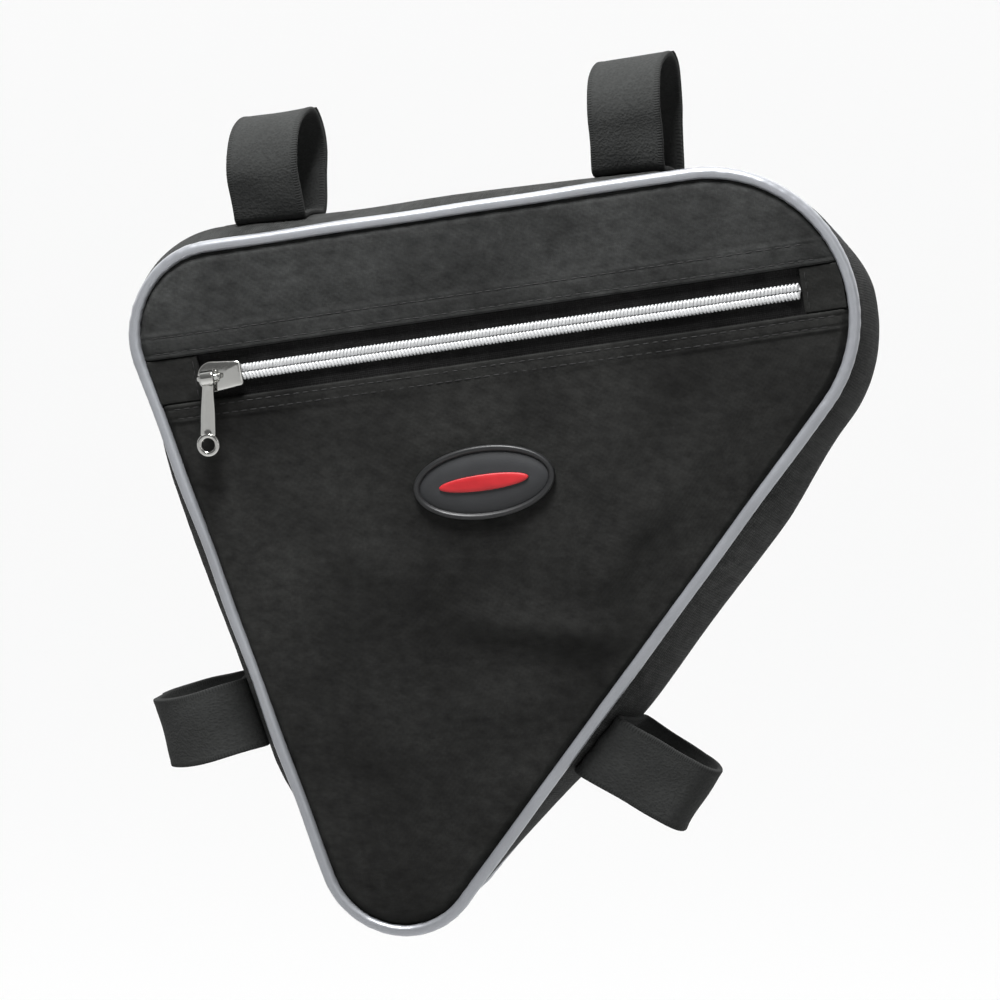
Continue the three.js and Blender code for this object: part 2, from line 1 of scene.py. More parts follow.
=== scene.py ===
"""Bicycle frame bag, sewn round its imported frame.

The file is laid out as an add-on and is run as a script. Lengths are metres.
The bag is worked out level, along its top tube, and then tilted with that tube:
along runs to the bicycle's front, depth runs away from the zip's side, and up is square to the tube.
"""

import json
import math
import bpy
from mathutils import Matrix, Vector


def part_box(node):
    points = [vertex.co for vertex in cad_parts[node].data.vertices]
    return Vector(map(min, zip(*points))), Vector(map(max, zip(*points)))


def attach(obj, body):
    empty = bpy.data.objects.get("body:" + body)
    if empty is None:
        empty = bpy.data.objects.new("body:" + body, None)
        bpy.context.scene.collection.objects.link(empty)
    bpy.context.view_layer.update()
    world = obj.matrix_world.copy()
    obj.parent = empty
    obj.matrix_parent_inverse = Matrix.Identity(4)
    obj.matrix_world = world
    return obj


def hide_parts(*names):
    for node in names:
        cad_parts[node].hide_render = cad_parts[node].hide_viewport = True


bl_info = {
    "name": "Frame Bag",
    "version": (1, 0, 0),
    "blender": (4, 5, 0),
    "location": "View3D > Sidebar > Frame Bag",
    "description": "Sews a bicycle frame bag round its packed frame",
    "category": "Add Mesh",
}

import bmesh
import bpy
import numpy as np
from bpy.props import FloatProperty, FloatVectorProperty, IntProperty, PointerProperty
from mathutils import Vector

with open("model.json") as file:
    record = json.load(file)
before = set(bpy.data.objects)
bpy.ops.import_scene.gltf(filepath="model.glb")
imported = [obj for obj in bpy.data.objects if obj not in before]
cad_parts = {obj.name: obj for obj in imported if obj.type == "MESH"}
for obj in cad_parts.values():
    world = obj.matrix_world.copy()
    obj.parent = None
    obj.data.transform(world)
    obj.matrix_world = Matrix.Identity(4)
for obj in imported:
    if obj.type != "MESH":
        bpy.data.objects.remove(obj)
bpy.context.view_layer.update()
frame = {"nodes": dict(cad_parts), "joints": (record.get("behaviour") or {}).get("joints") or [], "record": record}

MM = 0.001
BAG = "bag"
PULL = "pull"
UV_NAME = "Cloth"

mounts = {mount["name"]: mount for mount in frame["record"]["mounts"]}
pull_joint = next(joint for joint in frame["joints"] if joint["child"] == PULL)

# Rows are the level directions along, depth and up, in the row frame
tube = np.array(mounts["top_tube_hang"]["axis"])
LEVEL = np.array([tube, (0.0, 1.0, 0.0), (-tube[2], 0.0, tube[0])])

# The three axes: along the bag, away from the zip's side, and up
ALONG_AXIS = (1.0, 0.0, 0.0)
DEPTH_AXIS = (0.0, 1.0, 0.0)
FRONT_AXIS = (0.0, -1.0, 0.0)
UP_AXIS = (0.0, 0.0, 1.0)

# Vertices closer than this are one vertex
WELD_DISTANCE = 1e-6

# How far inside its seam a panel's cloth ends, and how far the cloth beside the piping turns in
CLOTH_INSET = 1.5 * MM
TUCK_DEPTH = 1.9 * MM
TUCK_START = 1.3 * MM
TUCK_REACH = 3.4 * MM

# Length of the small gathers along a seam, and how soon they fade away from it
GATHER_LENGTH = 9 * MM
GATHER_FADE = 6 * MM

# A hem's two rows of stitches: one this far from its edge, and one this far short of where its fold ends
EDGE_ROW = 1.8 * MM
FOLD_ROW = 0.9 * MM

# Distance over which a panel's ripples and dents fade in from its seam, and the length of its ripples
CALM_REACH = 25 * MM
PANEL_RIPPLE_LENGTH = 95 * MM

# The badge's pieces start this far behind the cloth's face
BADGE_SINK = 0.1 * MM

# The floor's half width in metres, and the farthest that the camera sees
FLOOR_REACH = 250.0
SIGHT = 200

# Name, place and size of each light in metres
KEY_LIGHT = ("key_light", (-0.06, -0.34, 0.66), 0.3)
FILL_LIGHTS = (
    ("fill_light", (1.3, -1.8, 0.4), 1.2),
    ("back_light", (0.6, 1.8, 1.5), 1.2),
)

# Depth part of a unit direction up to which the room is dark, and from which it is at its brightest
ROOM_TURN = (-0.35, 0.45)


def to_row(points):
    """Level points in the row frame: each is the sum of its coordinates times the level directions."""
    return np.asarray(points) @ LEVEL


def to_level(points):
    """Row points in level coordinates: each is the row of its products with the level directions."""
    return np.asarray(points) @ LEVEL.T


def node_points(node):
    """Every vertex of a CAD node, in level coordinates."""
    vertices = frame["nodes"][node].data.vertices
    flat = np.zeros(len(vertices) * 3)
    vertices.foreach_get("co", flat)
    return to_level(flat.reshape(-1, 3))


def level_box(node):
    """Lowest and highest corner of a CAD node, in level coordinates."""
    points = node_points(node)
    return points.min(0), points.max(0)


def linked(name, data):
    """A new object of some data, in the scene."""
    made = bpy.data.objects.new(name, data)
    bpy.context.scene.collection.objects.link(made)
    return made


# Settings


def length(label, description, default, smallest=0.0):
    """A length in metres that a user can change."""
    return FloatProperty(
        name=label, description=description, default=default, min=smallest, unit="LENGTH", precision=5
    )


def share(label, description, default):
    """A share between 0 and 1 that a user can change."""
    return FloatProperty(name=label, description=description, default=default, min=0.0, max=1.0)


def amount(label, description, default):
    """A light's power or strength that a user can change."""
    return FloatProperty(name=label, description=description, default=default, min=0.0)


def colour(label, description, default):
    """A linear colour that a user can change."""
    return FloatVectorProperty(
        name=label, description=description, default=default, size=3, min=0.0, max=1.0, subtype="COLOR"
    )


class FrameBagShape(bpy.types.PropertyGroup):
    """Sizes of the sewn body."""

    rear_radius: length("Rear corner", "Radius of the seam's rear top corner", 30 * MM)
    front_radius: length("Front corner", "Radius of the seam's front top corner", 48.5 * MM)
    tip_radius: length("Tip", "Radius of the seam's lower tip", 27 * MM)
    rear_lean: FloatProperty(
        name="Rear lean",
        description="Lean of the seam's rear side",
        default=math.radians(11.1),
        subtype="ANGLE",
    )
    wall: length("Cloth wall", "Thickness of the padded cloth", 1.5 * MM)
    crown: length("Crown", "How far a panel stands out of its seam", 4 * MM)
    crown_reach: length("Crown reach", "How far in from the seam a panel levels off", 55 * MM)
    back_drop: length("Back drop", "How far the back seam's front corner lies below the front seam's", 9 * MM)
    rear_bulge: length("Rear bulge", "How far the gusset stands out on the rear side", 9 * MM)
    front_bulge: length("Front bulge", "How far the gusset stands out on the front side", 9.3 * MM)
    top_bulge: length("Top bulge", "How far the gusset stands out on the top", 5 * MM)
    rear_corner_bulge: length("Rear corner bulge", "The gusset's bulge at the rear top corner", 4 * MM)
    front_corner_bulge: length("Front corner bulge", "The gusset's bulge low on the front top corner", 5 * MM)
    front_top_bulge: length("Front top bulge", "The gusset's bulge where that corner meets the top", 1 * MM)
    tip_bulge: length("Tip bulge", "The gusset's bulge at the tip", 0.5 * MM)
    side_ease: length("Side ease", "Length over which a side's bulge fades at its corners", 45 * MM)
    tip_ease: length("Tip ease", "Length over which the front side's bulge fades at the tip", 95 * MM)
    top_ease: length("Top ease", "Length over which the top's bulge fades at its corners", 15 * MM)
    piping_radius: length("Piping radius", "Radius of the piping in the seams", 2 * MM)
    pucker: length("Pucker", "Height of the small gathers along the seams", 0.22 * MM)
    ripple: length("Ripple", "Height of the broad unevenness of the panels", 1.0 * MM)


class FrameBagCloth(bpy.types.PropertyGroup):
    """Colours and threads of the cloth."""

    upper_colour: colour("Upper cloth", "Cloth above the zip", (0.0195, 0.0202, 0.0198))
    lower_colour: colour("Lower cloth", "Cloth below the zip and on the back", (0.0124, 0.0126, 0.012))
    gusset_colour: colour("Gusset", "Cloth of the gusset", (0.021, 0.0216, 0.0212))
    strap_colour: colour("Straps", "Webbing of the loops", (0.0195, 0.0202, 0.0198))
    tape_colour: colour("Zip tape", "Tape of the zip", (0.008, 0.008, 0.008))
    thread_colour: colour("Thread", "Sewing thread", (0.013, 0.013, 0.013))
    thread_pitch: length("Cloth thread", "Width of one thread of the panels", 0.42 * MM)
    gusset_pitch: length("Gusset thread", "Width of one thread of the gusset", 0.9 * MM)


class FrameBagTrim(bpy.types.PropertyGroup):
    """Zip, piping and badge."""

    piping_colour: colour("Piping", "Coated piping", (0.235, 0.243, 0.26))
    chain_colour: colour("Chain", "Coils of the zip", (0.42, 0.425, 0.43))
    metal_colour: colour("Metal", "Plated slider and pull", (0.4, 0.4, 0.385))
    rim_colour: colour("Badge rim", "Raised rim of the badge", (0.009, 0.0093, 0.0098))
    face_colour: colour("Badge face", "Sunk face of the badge", (0.013, 0.0137, 0.015))
    bar_colour: colour("Badge bar", "Plain bar on the badge", (0.27, 0.008, 0.011))
    coil_pitch: length("Coil pitch", "Distance between the coils of the zip", 1.25 * MM)
    wire_radius: length("Coil wire", "Radius of the zip's coil wire", 0.45 * MM)
    hem_upper: length("Upper hem", "Depth of the fold sewn down above the zip", 8.2 * MM)
    hem_lower: length("Lower hem", "Depth of the fold sewn down below the zip", 6 * MM)
    rim_width: length("Badge rim width", "Width of the badge's rim", 2 * MM)
    rim_height: length("Badge rim height", "Height of the badge's rim", 2.4 * MM)
    face_height: length("Badge face height", "Height of the badge's sunk face", 1.5 * MM)
    stitch: length("Stitch", "Length of one stitch", 2.6 * MM)
    stitch_gap: length("Stitch gap", "Distance between two stitches", 0.7 * MM)
    thread_radius: length("Thread radius", "Radius of the sewing thread", 0.19 * MM)


class FrameBagStage(bpy.types.PropertyGroup):
    """Camera, lights and floor."""

    camera_place: FloatVectorProperty(
        name="Camera",
        description="Where the camera stands",
        default=(0.311, -1.5, 0.09),
        subtype="TRANSLATION",
    )
    camera_aim: FloatVectorProperty(
        name="Aim",
        description="What the camera looks at",
        default=(0.018, 0.0, -0.126),
        subtype="TRANSLATION",
    )
    lens: FloatProperty(name="Lens", description="Focal length in millimetres", default=161.0, min=10.0)
    floor_drop: length("Floor drop", "Height of the top tube above the floor", 1.2)
    floor_colour: colour("Floor", "Plain pale floor", (0.95, 0.95, 0.95))
    sky_colour: colour("Surroundings", "Pale room round the bag", (1.0, 1.0, 1.0))
    sky_strength: amount("Room light", "Strength of the room's light behind the bag", 1.84)
    dark_side: share("Dark side", "Brightness of the room in front of the bag, beside that behind it", 0.12)
    backdrop: share("Backdrop", "Strength of the room where it is seen past the floor's edge", 0.95)
    key_power: amount("Key light", "Power of the light over the front in watts", 24.0)
    fill_power: amount("Fill light", "Power of each of the two soft lights in watts", 6.0)


class FrameBagSettings(bpy.types.PropertyGroup):
    """All settings of the bag."""

    shape: PointerProperty(type=FrameBagShape)
    cloth: PointerProperty(type=FrameBagCloth)
    trim: PointerProperty(type=FrameBagTrim)
    stage: PointerProperty(type=FrameBagStage)
    seed: IntProperty(name="Seed", description="Start of the random draws", default=7)


def settings():
    """The bag's settings in the open scene."""
    return bpy.context.scene.frame_bag


# Curves and fields


def eased(x):
    """0 below 0, 1 above 1, and 3x^2 - 2x^3 between."""
    x = np.clip(x, 0.0, 1.0)
    return x * x * (3 - 2 * x)


def unit(vectors):
    """Each vector over its own length."""
    return vectors / np.linalg.norm(vectors, axis=1, keepdims=True)


def square_to(vectors, headings):
    """Each vector less its share along a unit heading, over its own length."""
    return unit(vectors - headings * (vectors * headings).sum(1, keepdims=True))


def whole_turn(steps):
    """Angles of a whole turn in equal steps, without the last one, which is the first again."""
    return np.linspace(0, 2 * math.pi, steps, endpoint=False)


class TightBand:
    """The line of a band pulled tight round circles, given in turn as rows of (x, z, radius).

    The outward direction of the side between two circles is a quarter turn from the line through their
    centres, plus the angle whose sine is the change of radius over that line's length. Each circle's arc
    runs from the direction of the side before it to that of the side after it.
    """

    def __init__(self, circles, fine=160):
        self.circles = np.asarray(circles, float)
        centres, radii = self.circles[:, :2], self.circles[:, 2]
        run = np.roll(centres, -1, axis=0) - centres
        span = np.hypot(*run.T)
        grow = np.arcsin((radii - np.roll(radii, -1)) / span)
        leave = np.arctan2(run[:, 1], run[:, 0]) + grow - math.pi / 2
        enter = np.roll(leave, 1)
        turn = (leave - enter) % (2 * math.pi)
        angles = enter[:, None] + turn[:, None] * np.linspace(0, 1, fine)
        normals = np.stack([np.cos(angles), np.sin(angles)], axis=-1)
        places = centres[:, None] + radii[:, None, None] * normals
        places = places.reshape(-1, 2)
        angles = np.unwrap(angles.ravel())
        self.places = np.vstack([places, places[:1]])
        self.angles = np.append(angles, angles[0] + 2 * math.pi)
        steps = np.hypot(*np.diff(self.places, axis=0).T)
        self.runs = np.append(0, np.cumsum(steps))
        self.total = self.runs[-1]
        first = np.arange(len(radii)) * fine
        self.corners = np.stack([self.runs[first], self.runs[first + fine - 1]], axis=1)

    def at(self, run):
        """Places and outward directions at distances along the band."""
        run = np.asarray(run) % self.total
        places = np.stack([np.interp(run, self.runs, self.places[:, k]) for k in (0, 1)], axis=-1)
        angles = np.interp(run, self.runs, self.angles)
        return places, np.stack([np.cos(angles), np.sin(angles)], axis=-1)

    def crossings(self, level):
        """Distances at which the band crosses a level, going down its first side and up its second."""
        low = int(np.argmin(self.places[:, 1]))
        high = low + int(np.argmax(self.places[low:-1, 1]))
        down = np.interp(level, self.places[low::-1, 1], self.runs[low::-1])
        up = np.interp(level, self.places[low:high, 1], self.runs[low:high])
        return down, up

    def shrunk(self, inset):
        """The same band with every radius smaller by the inset, which runs that far inside it."""
        return TightBand(self.circles - np.array([0, 0, inset]))


def inset_in(circles, along, up, directions=240):
    """Distance in from the band round some circles.

    It is the smallest distance, over all directions, to the line square to that direction that touches
    the circles from outside, and 0 outside the band.
    """
    turn = whole_turn(directions)
    cosine, sine = np.cos(turn), np.sin(turn)
    circles = np.asarray(circles)
    support = (circles[:, :1] * cosine + circles[:, 1:2] * sine + circles[:, 2:]).max(0)
    shape = np.shape(along)
    along, up = np.ravel(along), np.ravel(up)
    nearest = np.full(along.shape, np.inf)
    for k in range(directions):
        nearest = np.minimum(nearest, support[k] - along * cosine[k] - up * sine[k])
    return np.maximum(nearest, 0).reshape(shape)


def ripples(x, z, size, seed, waves=9):
    """Smooth unevenness, mostly between -1 and 1: plane waves near one wavelength, whose directions,
    lengths and phases are drawn from the seed, added up and divided by the root of their number."""
    draw = np.random.default_rng(seed)
    total = np.zeros(np.shape(x))
    for _ in range(waves):
        direction, phase = draw.uniform(0, 2 * math.pi, 2)
        wavelength = size * draw.uniform(0.7, 1.5)
        travel = x * math.cos(direction) + z * math.sin(direction)
        total = total + np.sin(2 * math.pi * travel / wavelength + phase)
    return total / math.sqrt(waves)


def seam_circles(node):
    """The three corner circles of a seam: rear top, tip and front top.

    The piping's box gives the seam's ends, top and bottom. The tip's circle touches the side that leans
    down from the rear circle.
    """
    shape = settings().shape
    _, hi = level_box(node)
    front_lo, front_hi = level_box("front_piping")
    # Only the back seam's front corner is tucked in, and only that one is lower
    tuck = front_hi[0] - hi[0]
    drop = shape.back_drop if tuck > shape.wall / 2 else 0.0
    thick = shape.piping_radius
    top = front_hi[2] - thick
    rear_r, tip_r, front_r = shape.rear_radius, shape.tip_radius, shape.front_radius
    rear = (front_lo[0] + thick + rear_r, top - rear_r, rear_r)
    front = (front_hi[0] - thick - front_r - tuck, top - front_r - drop, front_r)
    tip_up = front_lo[2] + thick + tip_r
    lean = shape.rear_lean
    reach = math.cos(lean) * rear[0] + math.sin(lean) * (rear[1] - tip_up) + tip_r - rear_r
    return [rear, (reach / math.cos(lean), tip_up, tip_r), front]


# Broad dents of the front panel: how far they lie in front of and below the badge, in shares of the bag's
# length and height, their longer and shorter reach, their turn and their depth
PANEL_DENTS = (
    (-0.26, 0.16, 34 * MM, 16 * MM, math.radians(-60), 1.2 * MM),
    (0.13, 0.31, 40 * MM, 12 * MM, math.radians(-40), 1.6 * MM),
    (0.3, -0.02, 30 * MM, 14 * MM, math.radians(50), 1.2 * MM),
)

# Soft creases of the front panel: along and up of both ends from the badge, width and height
PANEL_CREASES = (
    (-14 * MM, -46 * MM, 34 * MM, -59 * MM, 6 * MM, 2.7 * MM),
    (-30 * MM, -72 * MM, 12 * MM, -80 * MM, 9 * MM, 1.6 * MM),
    (-14 * MM, -124 * MM, 6 * MM, -98 * MM, 7 * MM, 1.0 * MM),
    (-82 * MM, 16 * MM, -50 * MM, -8 * MM, 8 * MM, 1.2 * MM),
    (-60 * MM, -14 * MM, -24 * MM, -34 * MM, 8 * MM, 1.6 * MM),
    (58 * MM, -12 * MM, 32 * MM, -42 * MM, 7 * MM, 2.0 * MM),
    (88 * MM, 18 * MM, 62 * MM, -16 * MM, 8 * MM, 1.6 * MM),
    (-66 * MM, 70 * MM, -14 * MM, 82 * MM, 9 * MM, 1.0 * MM),
    (30 * MM, 62 * MM, 84 * MM, 74 * MM, 8 * MM, 1.0 * MM),
)


# A crease is full over this share of its length on each side of its middle, and fades over this share
CREASE_FULL = 0.3
CREASE_FADE = 0.22


def creases(x, z):
    """Height of soft ridges: each is a bell curve across a segment and fades out beyond its ends."""
    total = np.zeros(np.shape(x))
    for x0, z0, x1, z1, width, height in PANEL_CREASES:
        run = math.hypot(x1 - x0, z1 - z0)
        ex, ez = (x1 - x0) / run, (z1 - z0) / run
        lengthwise = ((x - x0) * ex + (z - z0) * ez) / run
        crosswise = (-(x - x0) * ez + (z - z0) * ex) / width
        fade = np.exp(-np.square(np.maximum(0, np.abs(lengthwise - 0.5) - CREASE_FULL) / CREASE_FADE))
        total = total + height * fade * np.exp(-np.square(crosswise))
    return total


class PanelFace:
    """A panel's outer face: a crown that levels off away from the seam, uneven with broad ripples, and on
    the zip's side with dents and creases. side is -1 on the zip's side and 1 on the back."""

    def __init__(self, node, side):
        shape = settings().shape
        self.side = side
        self.circles = seam_circles(node)
        self.seam = TightBand(self.circles)
        lo, hi = level_box(node)
        self.seam_depth = (lo[1] + hi[1]) / 2
        self.shape = shape
        badge_lo, badge_hi = level_box("badge")
        self.badge = (badge_lo + badge_hi) / 2
        seam_lo, seam_hi = level_box("front_piping")
        self.size = (seam_hi - seam_lo)[[0, 2]] - 2 * shape.piping_radius

    def dents(self, along, up):
        """How far the face lies in at its dents: a bell curve each way from the middle of each. Its creases
        stand out by their height."""
        total = np.zeros(np.shape(along))
        for right, down, long_reach, short_reach, turn, depth in PANEL_DENTS:
            dx = along - self.badge[0] - right * self.size[0]
            dz = up - self.badge[2] + down * self.size[1]
            lengthwise = (dx * math.cos(turn) + dz * math.sin(turn)) / long_reach
            crosswise = (-dx * math.sin(turn) + dz * math.cos(turn)) / short_reach
            total = total + depth * np.exp(-np.square(lengthwise) - np.square(crosswise))
        return total - creases(along - self.badge[0], up - self.badge[2])

    def out(self, along, up):
        """How far the face stands out from the seam's plane."""
        shape = self.shape
        inset = inset_in(self.circles, along, up)
        rise = 1 - np.minimum(1, inset / shape.crown_reach)
        broad = ripples(along, up, PANEL_RIPPLE_LENGTH, settings().seed + (self.side > 0))
        calm = eased(inset / CALM_REACH)
        out = shape.crown * (1 - rise * rise) + shape.wall / 2 + shape.ripple * broad * calm
        if self.side < 0:
            out = out - self.dents(along, up) * calm
        return out

    def depth(self, along, up):
        """Depth of the face in level coordinates."""
        return self.seam_depth + self.side * self.out(along, up)


# Meshes


def grid_faces(rows, columns, closed):
    """Corners of each quad of a grid, as vertex numbers and as numbers into the grid of texture places,
    which has one more row or column where the grid is closed."""
    i, j = np.meshgrid(np.arange(rows - 1 + closed[0]), np.arange(columns - 1 + closed[1]), indexing="ij")
    i, j = i.ravel(), j.ravel()
    steps = ((0, 0), (1, 0), (1, 1), (0, 1))
    corners = [((i + a) % rows) * columns + (j + b) % columns for a, b in steps]
    places = [(i + a) * (columns + closed[1]) + j + b for a, b in steps]
    return np.stack(corners, axis=1), np.stack(places, axis=1)


def part(points, closed=(False, True), uv=None, caps=False):
    """A grid of level points (rows, columns, 3), or copies of one (copies, rows, columns, 3).

    closed says which of its two directions close on themselves, uv is its texture places in metres, and
    caps close the first and last row."""
    return {"points": np.asarray(points, float), "closed": closed, "uv": uv, "caps": caps}


def uv_grid(rows, columns):
    """Texture places from a row of distances for each of the grid's directions."""
    return np.stack(np.meshgrid(rows, columns, indexing="ij"), axis=-1)


def sew(name, parts, finish, nodes=(), body=BAG):
    """Makes one piece of some parts, welds it, turns its faces out and hangs it on its body."""
    vertices, faces, places = [], [], []
    count = 0
    for item in parts:
        points = item["points"]
        copies = points if points.ndim == 4 else points[None]
        number, rows, columns = copies.shape[:3]
        corners, spots = grid_faces(rows, columns, item["closed"])
        uv = item["uv"]
        if uv is None:
            flat = copies.reshape(-1, 3)[:, [0, 2]]
            uv_rows = [flat[corners + k * rows * columns] for k in range(number)]
        else:
            uv_rows = [np.asarray(uv).reshape(-1, 2)[spots]] * number
        for k in range(number):
            base = count + k * rows * columns
            faces.extend((corners + base).tolist())
            places.append(uv_rows[k].reshape(-1, 2))
            if item["caps"]:
                ring = np.arange(columns)
                faces.append((ring + base).tolist())
                faces.append((ring[::-1] + base + (rows - 1) * columns).tolist())
                places.append(np.zeros((2 * columns, 2)))
        vertices.append(copies.reshape(-1, 3))
        count += number * rows * columns
    mesh = bpy.data.meshes.new(name)
    mesh.from_pydata(to_row(np.vstack(vertices)).tolist(), [], faces)
    layer = mesh.uv_layers.new(name=UV_NAME)
    layer.data.foreach_set("uv", np.vstack(places).astype(np.float32).ravel())
    weld(mesh)
    mesh.materials.append(finish)
    piece = linked(name, mesh)
    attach(piece, body)
    if nodes:
        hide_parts(*nodes)
    return piece


def weld(mesh):
    """Joins vertices that lie on each other, drops faces without area and turns the rest outwards."""
    work = bmesh.new()
    work.from_mesh(mesh)
    bmesh.ops.remove_doubles(work, verts=work.verts, dist=WELD_DISTANCE)
    bmesh.ops.dissolve_degenerate(work, edges=work.edges, dist=WELD_DISTANCE)
    bmesh.ops.recalc_face_normals(work, faces=work.faces)
    work.to_mesh(mesh)
    work.free()
    mesh.polygons.foreach_set("use_smooth", [True] * len(mesh.polygons))
    mesh.update()


def rounded_section(half_width, half_height, radius, corner_steps=5, side_steps=8):
    """A rounded rectangle as rows of (width, height), counter-clockwise: four quarter circles, joined by
    straight sides that are split into steps."""
    quarter = np.linspace(0, math.pi / 2, corner_steps)
    corners = []
    for k, (a, b) in enumerate(((1, 1), (-1, 1), (-1, -1), (1, -1))):
        turn = quarter + k * math.pi / 2
        centre = np.array([a * (half_width - radius), b * (half_height - radius)])
        corners.append(centre + radius * np.stack([np.cos(turn), np.sin(turn)], axis=-1))
    ring = []
    for k, corner in enumerate(corners):
        after = corners[(k + 1) % 4][0]
        steps = side_steps if k % 2 == 0 else 2
        shares = np.linspace(0, 1, steps + 1)[1:-1, None]
        ring.extend([corner, corner[-1] + shares * (after - corner[-1])])
    return np.vstack(ring)


def swept(path, normals, binormals, section, scale=None):
    """A section carried along a path: each point is the path's plus width times the binormal plus height
    times the normal. scale shrinks the section at each row."""
    scale = np.ones(len(path)) if scale is None else np.asarray(scale)
    width = section[None, :, 0] * scale[:, None]
    height = section[None, :, 1] * scale[:, None]
    return path[:, None] + width[..., None] * binormals[:, None] + height[..., None] * normals[:, None]


def ring_section(radius, sides):
    """A circle as rows of (width, height)."""
    turn = whole_turn(sides)
    return radius * np.stack([np.cos(turn), np.sin(turn)], axis=-1)


def slab(outline, levels):
    """A flat body with a round edge: copies of an outline, each shrunk and at a depth, that close on its
    middle. levels are rows of (share of the outline, depth)."""
    outline = np.asarray(outline)
    middle = outline.mean(0)
    rows = []
    for size, depth in levels:
        flat = middle + (outline - middle) * size
        rows.append(np.stack([flat[:, 0], np.full(len(flat), depth), flat[:, 1]], axis=-1))
    return np.stack(rows)


# Finishes


class Finish:
    """A material and a short way to add its nodes."""

    def __init__(self, name):
        self.material = bpy.data.materials.new(name)
        self.material.use_nodes = True
        self.tree = self.material.node_tree
        self.shader = self.tree.nodes["Principled BSDF"]

    def node(self, kind, inputs=(), **options):
        """A new node with its options set and its inputs set or linked."""
        made = self.tree.nodes.new(kind)
        for key, value in options.items():
            setattr(made, key, value)
        for key, value in dict(inputs).items():
            self.put(made.inputs[key], value)
        return made

    def put(self, socket, value):
        """Sets a socket to a value or links it to another socket."""
        if isinstance(value, bpy.types.NodeSocket):
            self.tree.links.new(value, socket)
        elif isinstance(value, (tuple, list)) and len(value) == 3 and socket.type == "RGBA":
            socket.default_value = (*value, 1.0)
        else:
            socket.default_value = value

    def sums(self, operation, *values):
        """The result of one step of arithmetic on numbers or sockets."""
        made = self.node("ShaderNodeMath", enumerate(values), operation=operation)
        return made.outputs[0]

    def blend(self, amount, first, second):
        """Between two numbers by an amount: first + amount * (second - first)."""
        return self.sums("MULTIPLY_ADD", amount, self.sums("SUBTRACT", second, first), first)

    def cloth_place(self):
        """Places on the cloth in metres, from the piece's own texture places."""
        return self.node("ShaderNodeUVMap", uv_map=UV_NAME).outputs["UV"]

    def object_place(self):
        """Places in the piece's own coordinates in metres."""
        return self.node("ShaderNodeTexCoord").outputs["Object"]

    def noise(self, place, scale, detail=2.0, stretch=(1, 1, 1), roughness=0.5):
        """Noise between 0 and 1, with scale features to the metre. stretch squeezes it along each axis."""
        mapped = self.node("ShaderNodeMapping", {"Vector": place, "Scale": stretch})
        made = self.node(
            "ShaderNodeTexNoise",
            {"Vector": mapped.outputs[0], "Scale": scale, "Detail": detail, "Roughness": roughness},
        )
        return made.outputs["Fac"]

    def shade(self, base, factor):
        """A colour times a number."""
        mixed = self.node("ShaderNodeMix", data_type="RGBA", blend_type="MULTIPLY")
        self.put(mixed.inputs[0], 1.0)
        self.put(mixed.inputs[6], tuple(base))
        grey = self.node("ShaderNodeCombineColor", {"Red": factor, "Green": factor, "Blue": factor})
        self.put(mixed.inputs[7], grey.outputs[0])
        return mixed.outputs[2]

    def bump(self, height, distance, strength=1.0):
        """Raises the surface by a height between 0 and 1 times a distance."""
        made = self.node("ShaderNodeBump", {"Height": height, "Distance": distance, "Strength": strength})
        self.put(self.shader.inputs["Normal"], made.outputs[0])

    def surface(self, **values):
        """Sets the shader's own sockets, with underscores for the spaces in their names."""
        for key, value in values.items():
            self.put(self.shader.inputs[key.replace("_", " ")], value)


def plain_weave(finish, pitch):
    """Plain weave, as a height and a tone for each thread.

    Warp and weft lie at whole numbers of the pitch. Where the product of the two sines is positive the
    warp is on top: its height is round across the thread and nearly level along it. Elsewhere the weft is
    on top. Each thread has its own tone.
    """
    split = finish.node("ShaderNodeSeparateXYZ", {0: finish.cloth_place()})
    threads = [finish.sums("DIVIDE", split.outputs[k], pitch) for k in (0, 1)]
    sines = [finish.sums("SINE", finish.sums("MULTIPLY", thread, math.pi)) for thread in threads]
    across = [finish.sums("ABSOLUTE", sine) for sine in sines]
    level = [finish.sums("POWER", value, 0.35) for value in across]
    warp_over = finish.sums("GREATER_THAN", finish.sums("MULTIPLY", *sines), 0.0)
    warp = finish.sums("MULTIPLY", across[0], level[1])
    weft = finish.sums("MULTIPLY", across[1], level[0])
    tones = [
        finish.node(
            "ShaderNodeTexWhiteNoise", {"W": finish.sums("FLOOR", thread)}, noise_dimensions="1D"
        ).outputs["Value"]
        for thread in threads
    ]
    return finish.blend(warp_over, weft, warp), finish.blend(warp_over, tones[1], tones[0])


